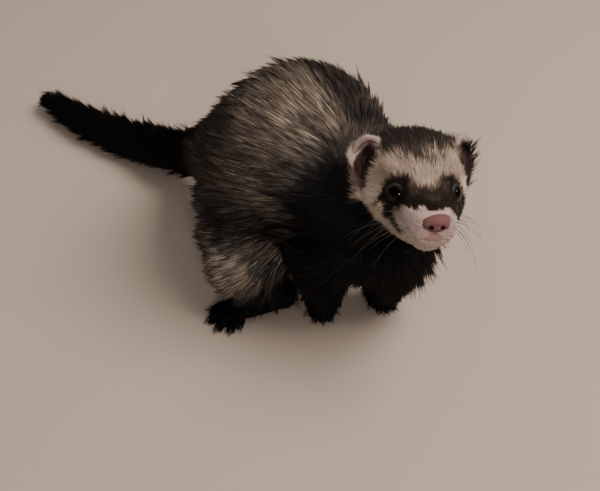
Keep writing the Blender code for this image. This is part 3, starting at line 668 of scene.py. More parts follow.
def faceMarks(shades, p, h, headW, rag):
    # the pale face, dark crown, mask across the eyes and streaks below them
    x, y, z = h.T
    wide = abs(y)
    lowEdge = -5 - 0.45 * (x + 9)
    pale = ramp(x + rag * 1.3, -13.5, -9.5) * np.maximum(ramp(z + rag - lowEdge, -2.5, 1.5), ramp(x, 9, 14))
    pale = pale * fall(wide + rag * 0.6, 24.2, 27.4)
    # cheeks and jaw: paler fur, painted paler still as painted light to make up for the shade they lie in
    paleLitCheek = ramp(wide, 14, 19) * fall(z, 2, 8)
    lay(shades, headW * pale, (0.57 + 0.22 * paleLitCheek, 0.5 + 0.2 * paleLitCheek, 0.75))
    jaw = fall(z, -10, 2) * fall(x, 8, 18)
    lay(shades, headW * pale * jaw * 0.7, shade["jaw"])
    crown = fall(x + 0.055 * y ** 2 + rag * 3, 3.2, 8.2)
    crown = crown * ramp(z + rag * 1.5, 9, 14)
    lay(shades, headW * crown, shade["crown"])
    snout = ramp(x - 0.35 * z + rag * 0.8, 19, 24)
    lay(shades, headW * snout, shade["snout"])
    pads = bell((wide - 8.5) / 3.4) * ramp(x, 18, 22) * fall(z, -3, 1)
    lay(shades, headW * snout * pads * ramp(wobble(p, 1.7, 21), 0.25, 0.85) * 0.7, shade["pads"])
    down = x - 0.9 * z
    top = down - np.interp(y, face["across"], face["top"]) + rag * 1.1
    low = np.interp(y, face["across"], face["low"]) - down + rag * 0.9 + wobble(p, 1.0, 31) * 0.8
    mask = ramp(top, -2.4, 2.8) * ramp(low, -0.9, 1.1)
    dusk = ramp(low, 5, 12) * fall(wide, 6, 9)        # browner towards the forehead
    lay(shades, headW * mask * (0.98 - 0.15 * dusk - 0.09 * ramp(wobble(p, 2.4, 9), 0, 0.9)), shade["mask"])
    streaks = []
    for sign in (-1, 1):
        rods = []
        for name in ("streak", "underEar"):
            begin, end, thick, thin = face[name]
            rods.append(capsule(h, *[(a, sign * b, c) for a, b, c in (begin, end)], thick, thin))
        streaks.append(fall(rods[0] + rag * 0.7, -1.1, 1.1))
        lay(shades, headW * fall(rods[1] + rag * 0.5, -0.9, 1.3) * 0.85, shade["underEar"])
        off = fromEye(p, sign)
        ring = np.hypot(off[:, 1], off[:, 2])
        arc = headW * bell((ring - 7.4) / 0.95) * ramp(-off[:, 2], 2.5, 5) * ramp(off[:, 0], -4, 0)
        lay(shades, arc * 0.6, shade["eyeArc"])
        lay(shades, headW * fall(ring + rag * 0.4, 5.6, 6.9) * ramp(off[:, 0], -5, -1), shade["eyeRing"])
    streaks = np.maximum(*streaks)
    lay(shades, headW * streaks * 0.95, shade["streak"])
    for at in face["browSpots"]:
        lay(shades, fall(distance(h - at), 0.6, 1.7) * 0.7, shade["browSpot"])
    return pale, mask, crown, streaks


def markings(p, normals):
    # undercoat shade, guard hair shade, warmth and pinkness at points p
    h = fromHead(p)
    w = zones(p)
    headW = w["head"] + w["muzzle"] + w["ear"]
    rag = wobble(p, 4.5, 5) * 0.9 + wobble(p, 1.8, 6) * 0.6
    shades = [0.455 - 0.06 * ramp(p[:, 0], 38, 52), np.full(len(p), 0.08), np.full(len(p), 0.72)]
    bodyMarks(shades, p, h, rag)
    pale, mask, crown, streaks = faceMarks(shades, p, h, headW, rag)
    rim, shadedHollow, back = earParts(p, normals)
    # the dark inside of each ear is partly dark hair and partly painted shade
    for share, name in ((rim, "rim"), (shadedHollow, "shadedHollow"), (back, "earBack")):
        lay(shades, w["ear"] * share, shade[name])
    pink = headW * ramp(h[:, 0], 22, 30) * 0.52
    pink = np.maximum(pink, headW * pale * 0.12) * (1 - mask) * (1 - crown) * (1 - streaks)
    pink = np.maximum(pink, w["ear"] * rim * (0.3 + 0.45 * fall(h[:, 2], 2, 10)))
    # painted shade: the skin and hair behind the nostrils are darkened
    hole = (np.abs(h - (31.5, 0.6, -5.3)) - (0, 2.2, 0)) / (4, 1.3, 1.3)
    nostril = fall(distance(hole), 0.9, 1.15)
    lay(shades, nostril, shade["nostril"])
    lips = lipShare(h) * 0.85
    lay(shades, lips, shade["lip"])
    # painted shade: a darker line along the mouth's groove
    seamShade = bell((mouthLine(h[:, 1]) - h[:, 2]) / 0.42) * fall(abs(h[:, 1]), 1.5, 5) * ramp(h[:, 0], 24, 26)
    lay(shades, seamShade * 0.3, shade["seamShade"])
    return *shades, np.maximum(pink * (1 - nostril), lips)


def flow(p, normals):
    # the way the hair lies at points p
    h = fromHead(p)
    w = zones(p)
    body = unit(p - trunk["fan"]) + (-0.32, 0, -0.25)
    neck = unit(p - inHead((0, 0, 0))) * 0.7 + unit(p - trunk["fan"]) * 0.3 + (-0.2, 0, -0.5)
    front = headWay(unit(h - (35, 0, -4)) + (-0.7, 0, 0.05))
    tailWay = np.array((-1.0, -0.14, -0.05)) + unit(p * (0, 1, 1) - (0, -6, 14)) * 0.25
    leg = unit(np.array((-0.12, 0, -1.0))) + 0 * p
    paw = 0 * p
    for kind, side in feet:
        near = np.exp(-(((p - joints(kind, side)[3])[:, :2] ** 2).sum(1)) / 260)
        ahead = unit(np.array((*paws["ahead"][kind + side], -0.35)))
        paw = paw + near[:, None] * ahead
    paw = unit(paw)
    ear = 0 * p
    for side, sign in pair:
        base = earCentre(side, sign) + earAxes(side, sign) @ (0, -sign * 3, -11)
        ear = np.where((h[:, 1] * sign > 0)[:, None], unit(p - base), ear)
    way = 0 * p
    for name, field in (("trunk", unit(body)), ("neck", unit(neck)), ("head", unit(front)),
                        ("muzzle", unit(front)), ("tail", unit(tailWay)),
                        ("leg", leg), ("paw", paw), ("ear", ear)):
        way = way + w[name][:, None] * field
    for sign in (-1, 1):        # hair parts round each eye
        off = p - eyeCentre(sign)
        far = distance(off)
        way = way + unit(off) * (1.3 * fall(far, 5.5, 10))[:, None]
    way = way - normals * (way * normals).sum(1)[:, None]
    return unit(way)


def faceTable(obj):
    mesh = obj.data
    mesh.calc_loop_triangles()
    corners = np.zeros(len(mesh.loop_triangles) * 3, int)
    mesh.loop_triangles.foreach_get("vertices", corners)
    return meshPoints(obj), corners.reshape(-1, 3)


def setAttribute(mesh, name, kind, values):
    made = mesh.attributes.new(name, kind, "POINT")
    values = np.ascontiguousarray(values, np.float32).ravel()
    made.data.foreach_set("value" if kind == "FLOAT" else "vector", values)


points, corners = faceTable(skin)
pointNormals = np.zeros(len(points) * 3)
skin.data.vertices.foreach_get("normal", pointNormals)
under, guard, warm, pink = markings(points, pointNormals.reshape(-1, 3))
setAttribute(skin.data, "fur", "FLOAT_VECTOR", np.stack([under * 0.75, warm, pink], 1))
skin.data.shade_smooth()
tree = BVHTree.FromPolygons(points.tolist(), corners.tolist())


def unwrapped():
    # an even unwrap of the skin's own shape, on a lighter copy
    copy = linked("unwrap", skin.data.copy())
    thin = copy.modifiers.new("Decimate", "DECIMATE")
    thin.ratio = 5000 / len(corners)
    thin.use_collapse_triangulate = True
    applied(copy)
    bpy.context.view_layer.objects.active = copy
    copy.select_set(True)
    bpy.ops.object.mode_set(mode="EDIT")
    bpy.ops.mesh.select_all(action="SELECT")
    bpy.ops.uv.smart_project(angle_limit=math.radians(66), island_margin=0.004)
    bpy.ops.object.mode_set(mode="OBJECT")
    places, shapes = meshPoints(copy), [tuple(f.vertices) for f in copy.data.polygons]
    uv = np.zeros(len(copy.data.loops) * 2)
    copy.data.uv_layers.active.data.foreach_get("uv", uv)
    bpy.data.objects.remove(copy)
    return places, np.array(shapes), uv.reshape(-1, 3, 2), BVHTree.FromPolygons(places.tolist(), shapes)


def uvAt(unwrap, roots):
    places, shapes, uv, near = unwrap
    found = [near.find_nearest(p)[::2] for p in roots.tolist()]
    index = np.array([f[1] for f in found])
    on = np.array([tuple(f[0]) for f in found])
    a, b, c = [places[shapes[index, k]] for k in range(3)]
    normal = np.cross(b - a, c - a)
    size = np.maximum((normal ** 2).sum(1), 1e-12)
    v = (np.cross(on - a, c - a) * normal).sum(1) / size
    w = (np.cross(b - a, on - a) * normal).sum(1) / size
    share = np.clip(np.stack([1 - v - w, v, w], 1), 0, 1)
    share /= share.sum(1, keepdims=True)
    return (uv[index] * share[:, :, None]).sum(1)


def spread(density, draw):
    # evenly spread roots over the skin, hairs per square millimetre given for each face
    a, b, c = [points[corners[:, k]] for k in range(3)]
    cross = np.cross(b - a, c - a)
    area = np.linalg.norm(cross, axis=1) / 2
    total = np.cumsum(area * density)
    count = int(total[-1])
    picks = (np.arange(count) + draw.random(count)) * (total[-1] / count)
    face = np.minimum(np.searchsorted(total, picks), len(total) - 1)
    u, v = np.sqrt(draw.random(count)), draw.random(count)
    roots = a[face] * (1 - u)[:, None] + b[face] * (u * (1 - v))[:, None] + c[face] * (u * v)[:, None]
    return roots, unit(cross[face])


def lieAlong(roots, ways, lengths, lifts, shares, rise):
    # points along each hair, which follows the skin and lifts from it
    path = []
    for share, up in zip(shares, rise):
        aim = roots + ways * (lengths * share)[:, None]
        found = [tree.find_nearest(p)[:2] for p in aim.tolist()]
        on = np.array([tuple(f[0]) for f in found])
        out = np.array([tuple(f[1]) for f in found])
        path.append(on + out * (lifts * up)[:, None])
    return path


patchWide = 0.003        # each hair's share of the map for colours


def hairMesh(name, path, out, widths, fur, uv):
    # one closed tapering hair for each root: rings of three corners and a tip
    count, rings = len(widths), len(path) - 1
    taper = {3: (0.75, 1, 0.72), 2: (0.9, 1)}[rings]
    path = [np.stack([q[:, 0], q[:, 1], np.maximum(q[:, 2], 0.35)], 1) for q in path]
    verts, marks, faced = [], [], []
    for k in range(rings):
        ahead = unit(path[k + 1] - path[max(k - 1, 0)])
        side = unit(np.cross(ahead, out))
        above = np.cross(side, ahead)
        half = (widths * taper[k] / 2)[:, None]
        faced += [above - side * 0.45, above, above + side * 0.45]
        verts += [path[k] - side * half, path[k] + above * half * 1.2, path[k] + side * half]
        marks += [fur[k]] * 3
    verts.append(path[-1])
    marks.append(fur[-1])
    faced.append(above)
    each = len(verts)
    faced = unit(np.stack(faced, 1).reshape(-1, 3))
    verts = np.stack(verts, 1).reshape(-1, 3)
    marks = np.stack(marks, 1).reshape(-1, 3)
    one = [(0, 2, 1)]
    for k in range(rings - 1):
        for i in range(3):
            j = (i + 1) % 3
            one += [(3 * k + i, 3 * k + j, 3 * k + 3 + j), (3 * k + i, 3 * k + 3 + j, 3 * k + 3 + i)]
    one += [(each - 4 + i, each - 4 + (i + 1) % 3, each - 1) for i in range(3)]
    one = np.array(one)
    faces = (one[None] + (np.arange(count) * each)[:, None, None]).reshape(-1, 3)
    patch, half = [], patchWide / 2
    for k in range(rings):
        up = -half + patchWide * k / rings
        patch += [(-half, up), (0, up), (half, up)]
    patch.append((0, half))
    flat = (np.clip(uv, 0.002, 0.998)[:, None] + np.array(patch)[None]).reshape(-1, 2)
    mesh = bpy.data.meshes.new(name)
    mesh.vertices.add(len(verts))
    mesh.vertices.foreach_set("co", ((verts + shift) * mm).ravel())
    mesh.loops.add(faces.size)
    mesh.loops.foreach_set("vertex_index", faces.ravel())
    mesh.polygons.add(len(faces))
    mesh.polygons.foreach_set("loop_start", np.arange(0, faces.size, 3))
    mesh.update()
    mesh.shade_smooth()
    mesh.normals_split_custom_set_from_vertices(faced.tolist())        # lit as the coat's own surface is
    setAttribute(mesh, "fur", "FLOAT_VECTOR", marks)
    layer = mesh.uv_layers.new(name="OFBake")
    layer.uv.foreach_set("vector", flat[faces.ravel()].astype(np.float32).ravel())
    return linked(name, mesh)


def awayFromBare(roots):
    # keeps hair off the eyes, the nose, the lips and the soles
    h = fromHead(roots)
    keep = roots[:, 2] > 0.4
    wide, tall = [size + 0.75 for size in head["opening"]]
    for sign in (-1, 1):
        off = fromEye(roots, sign)
        keep &= ~((np.hypot(off[:, 1] / wide, off[:, 2] / tall) < 1) & (off[:, 0] > -1))
    keep &= ~((h[:, 0] > 28.6) & (abs(h[:, 1] - 0.5) < 4.9 + 0.35 * (h[:, 2] + 3.5)) & (h[:, 2] > -7.4))
    keep &= ~(lipShare(h) > 0.55)
    return keep


def total(w, *names):
    return sum(w[name] for name in names)


def hairSizes(roots, normals, w):
    # length, lift and width of the hair at each root
    length, lift, width = mixed(w, 0), mixed(w, 1), mixed(w, 2)
    h = fromHead(roots)
    body = total(w, "trunk", "neck")

    def shorter(share, byLength, byLift):
        nonlocal length, lift
        length, lift = length * (1 - byLength * share), lift * (1 - byLift * share)

    shorter(ramp(-roots[:, 0], 140, 178), 0.5, 0.2)        # the tail's tip
    shorter(ramp(-normals[:, 2], 0.5, 0.9) * body, 0.35, 0.45)        # the belly
    for sign in (-1, 1):
        shorter(fall(distance(roots - eyeCentre(sign)), 5.5, 12), 0.6, 0.5)
    rim, shadedHollow, back = earParts(roots, normals)
    onLeft = h[:, 1] > 0
    deep = shadedHollow * np.maximum(onLeft, fall(h[:, 2], 4, 9))
    shorter(rim * fall(distance(roots - earCentre("right", -1)), 9, 14), 0.6, 0.6)
    length = length + w["ear"] * ((3.2 + 1.8 * onLeft) * deep + 1.6 * back)
    lift = lift + w["ear"] * ((1.3 + 1.9 * onLeft) * deep + 0.5 * back)
    # the back's far side, the chest and the haunches stand out more
    ruff = body * ramp(roots[:, 1], 2, 14) * ramp(roots[:, 2], 84, 104)
    breast = body * bell(distance(roots - (95, 20, 50)) / 14)
    haunch = sum(bell(distance(roots - (-2, y, 54)) / 17) for y in (-26, 29)) * w["trunk"]
    shorter(ruff, 0.22, -0.15)
    length, lift = length + 5 * breast + haunch, lift + 4.5 * breast + 3 * haunch
    crest = total(w, "head", "neck") * fall(h[:, 0] + 0.055 * h[:, 1] ** 2, 3, 10) * ramp(h[:, 2], 8, 15)
    return length + 2.8 * crest, lift + 1.3 * crest, width + 0.08 * crest


def growCoat():
    draw = np.random.default_rng(4)
    w = zones(points[corners].mean(1))
    a, b, c = [points[corners[:, k]] for k in range(3)]
    facing = unit(np.cross(b - a, c - a))
    below = 0.4 * ramp(-facing[:, 2], 0.3, 0.8) * total(w, "trunk", "neck", "leg", "tail")
    roots, normals = spread(mixed(w, 3) * (1 - below), draw)
    keep = awayFromBare(roots)
    roots, normals = roots[keep], normals[keep]
    w = zones(roots)
    length, lift, width = hairSizes(roots, normals, w)
    ways = flow(roots, normals)

    # clumps: each hair leans towards its clump's own line
    count = len(roots)
    picked = draw.random(count) < 1 / 9
    centres = np.flatnonzero(picked)
    finder = KDTree(len(centres))
    for k, place in enumerate(roots[centres].tolist()):
        finder.insert(place, k)
    finder.balance()
    clump = np.array([finder.find(p)[1] for p in roots.tolist()])
    turn = draw.normal(0, 0.075, len(centres))
    clumpLift = draw.uniform(0.82, 1.18, len(centres))
    clumpLift = clumpLift * np.where(draw.random(len(centres)) < 0.08, 1.45, 1)
    clumpLong = draw.uniform(0.85, 1.15, len(centres))
    clumpTone = draw.normal(0, 1, len(centres))
    own = draw.normal(0, 0.06, count)
    stray = draw.normal(0, 0.9, (len(centres), 3))[clump] + draw.normal(0, 0.5, (count, 3))
    # a hair's colour is that of the place where it shows
    seen = roots + ways * (length * 0.5 * (1 - w["ear"]))[:, None]
    seen = seen + stray * (1 - 0.8 * (w["ear"] + w["muzzle"]) - 0.5 * w["head"])[:, None]
    under, guard, warm, pink = markings(seen, normals)
    angle = turn[clump] + own + wobble(roots, 18, 9) * 0.07
    across = np.cross(normals, ways)
    ways = ways * np.cos(angle)[:, None] + across * np.sin(angle)[:, None]
    isGuard = draw.random(count) < 0.45
    size = np.where(isGuard, draw.uniform(0.85, 1.15, count), draw.uniform(0.5, 0.8, count))
    length = length * size * clumpLong[clump]
    lift = lift * size * clumpLift[clump] * draw.uniform(0.9, 1.1, count)
    width = width * draw.uniform(0.75, 1.25, count)

    isLong = total(w, "trunk", "neck", "tail", "leg") > 0.5
    calm = 1 - 0.65 * total(w, "head", "muzzle", "ear")
    unwrap = unwrapped()
    made = []
    for kind, pick, shares, rise, most in (
        ("guard", isLong & isGuard, (0.33, 0.68, 1), (0.34, 0.66, 1), 12000),
        ("under", isLong & ~isGuard, (0.5, 1), (0.5, 1), 19000),
        ("short", ~isLong, (0.5, 1), (0.6, 1), 19000),
    ):
        which = np.flatnonzero(pick)
        base = roots[which] - normals[which] * 0.25
        if kind != "short":
            path = [base, *lieAlong(roots[which], ways[which], length[which], lift[which], shares, rise)]
            lead = lieAlong(roots[centres], ways[centres], length[centres], lift[centres], shares, rise)
            for k, share in enumerate(shares):
                pull = 0.6 * share ** 1.2
                goal = lead[k][clump[which]]
                far = distance(goal - path[k + 1]) < 9
                path[k + 1] = path[k + 1] + (goal - path[k + 1]) * (pull * far)[:, None]
        else:
            path = [base]
            for share, up in zip(shares, rise):
                out = ways[which] * (length[which] * share)[:, None]
                path.append(roots[which] + out + normals[which] * (lift[which] * up)[:, None])
        # colours from root to tip, with painted shade towards each root
        tone = clumpTone[clump[which]]
        jitter = draw.normal(0, 1, len(which)) * calm[which]
        guarded = isGuard[which]
        streak = 0.5 + 0.5 * np.tanh(tone * calm[which] + wobble(roots[which], 9, 12) * 0.9)
        long = w["trunk"][which]
        rootShade = under[which] * (1 + (0.09 + 0.13 * long) * jitter)
        rootShade = rootShade * (0.86 - 0.12 * long + (0.24 + 0.26 * long) * streak)
        tipShade = np.where(guarded, guard[which], under[which] * 0.95) * (1 + 0.1 * jitter)
        tipShade = np.where(guarded & (streak > 0.66), tipShade * 0.5 + under[which] * 0.42, tipShade)
        stops = (0, *shares)
        # painted shade: each hair darkens towards its root, standing in for the coat's own shadow
        deep = 0.3 * calm[which]
        fur = []
        for s in stops:
            dark = ramp(np.full(len(which), s), 0.42, 0.94)
            shade = rootShade * (1 - deep + deep * min(1, s * 2.5)) * (1 - dark) + tipShade * dark
            fur.append(np.stack([np.clip(shade, 0, 1), warm[which], pink[which]], 1))
        uv = uvAt(unwrap, roots[which])
        group = np.argmax(np.stack([w[zone][which] for zone in coat], 1), 1)
        for g, zone in enumerate(coat):
            inside = np.flatnonzero(group == g)
            for part in range(0, len(inside), most):
                take = inside[part : part + most]
                title = f"coat_{zone}_{kind}_{part // most + 1}"
                piece = hairMesh(title, [q[take] for q in path], normals[which][take], width[which][take],
                                 [f[take] for f in fur], uv[take])
                made.append((zone, piece))
    sizes = [len(piece.data.polygons) for zone, piece in made]
    print("coat", len(roots), "hairs,", sum(sizes), "triangles in", len(made), "pieces of at most",
          max(sizes))
    return made


# Materials


class Wire:
    # one output socket of a finish's nodes, which can be reckoned with
    def __init__(self, finish, socket):
        self.finish, self.socket = finish, socket

    def maths(self, operation, first, second):
        return self.finish.node("ShaderNodeMath", {"operation": operation}, {0: first, 1: second})

    def __add__(self, other):
        return self.maths("ADD", self, other)

    def __sub__(self, other):
        return self.maths("SUBTRACT", self, other)

    def __rsub__(self, other):
        return self.maths("SUBTRACT", other, self)

    def __mul__(self, other):
        return self.maths("MULTIPLY", self, other)

    __radd__ = __add__
    __rmul__ = __mul__


class Finish:
    # a material that is being put together
    def __init__(self, name, **values):
        self.material = bpy.data.materials.new(name)
        self.material.use_nodes = True
        self.tree = self.material.node_tree
        self.shader = self.tree.nodes["Principled BSDF"]
        for key, value in values.items():
            self.shader.inputs[key.replace("_", " ")].default_value = value

    def join(self, socket, value):
        if isinstance(value, Wire):
            self.tree.links.new(value.socket, socket)
        else:
            socket.default_value = value

    def node(self, kind, settings=None, values=None, output=0):
        made = self.tree.nodes.new(kind)
        for key, value in (settings or {}).items():
            if key == "stops":
                for k, (place, colour) in enumerate(value):
                    stop = made.color_ramp.elements[k] if k < 2 else made.color_ramp.elements.new(place)
                    stop.position, stop.color = place, (*colour, 1)
            else:
                setattr(made, key, value)
        for key, value in (values or {}).items():
            self.join(made.inputs[key], value)
        return Wire(self, made.outputs[output])

    def set(self, **values):
        for key, value in values.items():
            self.join(self.shader.inputs[key.replace("_", " ")], value)

    def blend(self, share, first, second):
        return self.node("ShaderNodeMix", {"data_type": "RGBA"}, {0: share, 6: first, 7: second}, 2)

    def noise(self, scale, detail=3):
        return self.node("ShaderNodeTexNoise", None, {"Scale": scale, "Detail": detail})

    def mark(self, name):
        return self.node("ShaderNodeAttribute", {"attribute_name": name}, output=2)

    def tinted(self, share, stops):
        return self.node("ShaderNodeValToRGB", {"stops": stops}, {0: share})

    def bump(self, height, strength, depth, **settings):
        values = {"Strength": strength, "Distance": depth, "Height": height}
        return self.node("ShaderNodeBump", settings, values)

    def furParts(self):
        found = self.node("ShaderNodeAttribute", {"attribute_name": "fur"}, output=1)
        return [self.node("ShaderNodeSeparateXYZ", None, {0: found}, k) for k in range(3)]


fur = {
    "cool": ((0, (0.0012, 0.0011, 0.0012)), (0.12, (0.013, 0.0115, 0.011)), (0.35, (0.085, 0.075, 0.07)),
             (0.7, (0.33, 0.28, 0.25)), (1, (0.66, 0.6, 0.56))),
    "warm": ((0, (0.0015, 0.0011, 0.001)), (0.12, (0.02, 0.0135, 0.0105)), (0.35, (0.115, 0.078, 0.053)),
             (0.7, (0.42, 0.31, 0.215)), (1, (0.74, 0.64, 0.5))),
    "pink": (0.43, 0.205, 0.19, 1),
}


def furColour(made, grain):
    brightness, warmth, pinkness = made.furParts()
    speck = made.noise(grain)
    brightness = brightness * (speck * 0.3 + 0.85)
    colour = made.blend(warmth, made.tinted(brightness, fur["cool"]), made.tinted(brightness, fur["warm"]))
    return made.blend(pinkness * 0.6, colour, fur["pink"]), speck


def furFinish():
    made = Finish("fur", Roughness=0.62, Specular_IOR_Level=0.14)
    colour, speck = furColour(made, 900)
    made.set(Base_Color=colour, Roughness=speck * 0.2 + 0.5)
    return made.material


def skinFinish():
    made = Finish("skin", Roughness=0.7, Specular_IOR_Level=0.25)
    colour, speck = furColour(made, 1500)
    made.set(Base_Color=colour, Normal=made.bump(made.noise(2600, 4), 0.35, 0.0003))
    return made.material


def eyeFinish():
    made = Finish("wetEye", Roughness=0.04, IOR=1.3)
    ring = made.mark("ring")
    streaks = made.noise(1400)
    # pupil, iris and the paler ring at its edge, a painted highlight standing in for the wet shine round the
    # eye
    colour = made.tinted(ring + streaks * 0.06 - 0.03, (
        (0, (0.0012, 0.001, 0.001)), (0.5, (0.0014, 0.0012, 0.0011)), (0.57, (0.006, 0.0042, 0.0032)),
        (0.66, (0.009, 0.0065, 0.0052)), (0.74, (0.02, 0.0175, 0.016)), (0.82, (0.034, 0.03, 0.0275)),
        (0.9, (0.012, 0.01, 0.009))))
    made.set(Base_Color=colour, Roughness=streaks * 0.03 + 0.02)
    return made.material


def lidFinish():
    made = Finish("lidSkin", Roughness=0.5, Specular_IOR_Level=0.2)
    grain = made.noise(1800, 4)
    colour = made.tinted(grain, ((0.3, (0.006, 0.004, 0.0035)), (0.75, (0.02, 0.013, 0.011))))
    # painted highlight: the lid's inner edge is coloured paler grey in place of its wet shine
    colour = made.blend(made.mark("wet"), colour, (0.05, 0.042, 0.039, 1))
    made.set(Base_Color=colour, Normal=made.bump(grain, 0.4, 0.0002))
    return made.material


def noseFinish():
    made = Finish("noseLeather", Roughness=0.4, Specular_IOR_Level=0.16)
    pebbles = made.node("ShaderNodeTexVoronoi", {"feature": "SMOOTH_F1"}, {"Scale": 2100, "Smoothness": 0.6})
    patches, hole = made.noise(320, 4), made.mark("hole")
    tint = made.tinted(patches, (
        (0.3, (0.078, 0.03, 0.0275)), (0.52, (0.122, 0.05, 0.0465)), (0.8, (0.185, 0.09, 0.083))))
    # painted shade: the nostril holes are coloured near black
    made.set(Base_Color=made.blend(hole, tint, (0.03, 0.006, 0.006, 1)),
             Roughness=patches * 0.2 + hole * 0.4 + 0.32,
             Normal=made.bump(pebbles, 0.35, 0.00025, invert=True))
    return made.material


def hornFinish(name, dark, pale):
    made = Finish(name, Roughness=0.35)
    made.set(Base_Color=made.tinted(made.noise(900), ((0.35, dark), (0.7, pale))))
    return made.material


def dress(obj, material):
    obj.data.materials.clear()
    obj.data.materials.append(material)
    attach(obj, "root")


dress(skin, skinFinish())
skin.name = "skin"
sides = ("left", "right")
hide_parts("head", "neck", "torso", "tail",
            *[f"{part}_{side}" for part in ("foreleg", "forepaw", "hindleg", "hindfoot", "ear")
              for side in sides])
furMaterial = furFinish()
for zone, piece in growCoat():
    dress(piece, furMaterial)


def eyeball(side, sign, finish):
    radius = head["eyeRadius"]
    across, rise = circle(48)
    rings = []
    for lean in np.linspace(math.pi, 0, 33)[1:-1]:
        bulge = radius + 0.12 * math.exp(-(lean / 0.62) ** 2)       # the clear front stands out a little
        flat = flatRing(math.cos(lean), math.sin(lean) * across, math.sin(lean) * rise)
        rings.append(atEye(flat * bulge, sign))
    shape, faces = loft(rings)
    eye = newMesh("eyeball_" + side, shape, faces)
    local = fromEye(shape, sign)
    ring = np.where(local[:, 0] > 0, np.hypot(local[:, 1], local[:, 2]) / radius, 1)
    setAttribute(eye.data, "ring", "FLOAT", ring)
    dress(eye, finish)
    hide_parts("eye_" + side)


def lidRim(side, sign, finish, rows=64, section=14):
    # both lids as one thin rim round the opening
    verts, faces, wet = [], [], []
    for k in range(rows):
        a = math.tau * k / rows
        corner = 1 + 0.10 * max(0, -math.cos(a) * sign) ** 6        # drawn out towards the nose
        wide, tall = head["opening"][0] * corner, head["opening"][1]
        out = np.array((0, math.cos(a), math.sin(a)))
        lid = 0.25 + 0.05 * math.sin(a) + 0.02 * math.sin(7 * a)
        at = np.array((0, wide * math.cos(a), tall * math.sin(a)))
        depth = math.sqrt(max(0.1, (head["eyeRadius"] + 0.1) ** 2 - at[1] ** 2 - at[2] ** 2))
        for s in range(section):
            t = math.tau * s / section
            proud = np.array((depth + 0.02 + 0.26 * math.sin(t), 0, 0))
            verts.append(at + proud + out * (0.22 + lid * math.cos(t)))
            # painted highlight on the rim's inner side, next to the eye
            wet.append(max(0, -math.cos(t)) ** 2 * (0.75 + 0.25 * math.sin(5 * a)))
            u, j = (s + 1) % section, (k + 1) % rows
            faces.append((k * section + s, k * section + u, j * section + u, j * section + s))
    margin = newMesh("lids_" + side, atEye(np.array(verts), sign), faces)
    setAttribute(margin.data, "wet", "FLOAT", np.array(wet))
    dress(margin, finish)


def eyes():
    wetEye, lidSkin = eyeFinish(), lidFinish()
    for side, sign in pair:
        eyeball(side, sign, wetEye)
        lidRim(side, sign, lidSkin)
    print("eyes and lids")


leather = {
    "middle": 0.6,
    # centre from the middle, radii, way and detail of each form, for the left side
    "bridge": ((28.6, 0, -3.4), (4.7, 6.1, 2.8), (1, 0, -0.1), 32),
    "lip": ((29.1, 0, -5.3), (4.0, 4.9, 2.7), (1, 0, -0.1), 32),
    "wing": ((29.8, 3.3, -4.7), (2.7, 2.1, 1.9), (1, 0.3, 0), 28),
    "hole": ((32.9, 2.2, -5.3), (1.7, 0.85, 0.9), (1, 0.3, -0.1), 16),
    "slit": ((32.0, 3.3, -5.6), (1.1, 1.0, 0.22), (0.6, 0.9, 0.1), 14),
    # centre and radii of the painted shade in each nostril
    "dark": ((32.2, 2.2, -5.3), (2.4, 1.05, 1.05)),
}


def noseBall(form, sign=1):
    (x, y, z), radii, (ahead, aside, up), detail = leather[form]
    at = inHead((x, leather["middle"] + sign * y, z))
    return ball(at, radii, headWay((ahead, sign * aside, up)), detail=detail)


def nose():
    middle = leather["middle"]
    forms = [noseBall("bridge"), noseBall("lip"), noseBall("wing", -1), noseBall("wing", 1)]
    obj = fuse("noseLeather", forms, 0.26, 18)
    for sign in (-1, 1):
        for form in ("hole", "slit"):
            boolean(obj, newMesh(form, *noseBall(form, sign)))
    rows = [(*inHead((33.45 - 0.14 * k * k, middle, -4.4 - 1.2 * k)), 0.24, 0.4) for k in range(4)]
    boolean(obj, newMesh("crease", *tube(rows, steps=2, sides=8, up=tuple(headWay((1, 0, 0))))))
    # painted shade: how far each point lies in a nostril's dark spot
    shape = fromHead(meshPoints(obj))
    hole = np.zeros(len(shape))
    (x, y, z), radii = leather["dark"]
    for sign in (-1, 1):
        off = distance((shape - (x, middle + sign * y, z)) / radii)
        hole = np.maximum(hole, fall(off, 0.75, 1.15))
    setAttribute(obj.data, "hole", "FLOAT", hole)
    obj.data.shade_smooth()
    dress(obj, noseFinish())
    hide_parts("nose")
    print("nose")


clawRows = (
    # how far along the toe, how high, half width and half height
    (-1.6, 0, 0.65, 0.85), (0.8, 0.2, 0.56, 0.76), (2.2, -0.2, 0.38, 0.5), (3.4, -1.2, 0.1, 0.14),
)


def claws():
    horn = hornFinish("claw", (0.012, 0.01, 0.009), (0.07, 0.055, 0.045))
    for kind, side in feet:
        forms = []
        for root, tip, way, thick in toes(kind, side):
            at = tip + way * thick * 0.45
            rows = [(*(at + way * along + (0, 0, up)), wide, tall) for along, up, wide, tall in clawRows]
            forms.append(tube(rows, steps=4, sides=12))
        dress(newMesh(f"claws_{kind}_{side}", *joined(forms)), horn)
    print("claws")


whisker = {
    # the first root of each row on the lip in the head's frame, for the left side
    "rows": ((25.4, 7.6, -5.4), (24.8, 8.3, -7.0), (23.8, 8.8, -8.6)),
    "each": 4, "length": (14, 27), "sag": (0.3, 1.0), "bend": 0.26, "seed": 30,
    # half width at the root beyond the tip's, and the tip's own
    "radius": {"right": (0.038, 0.014), "left": (0.07, 0.02)},
}


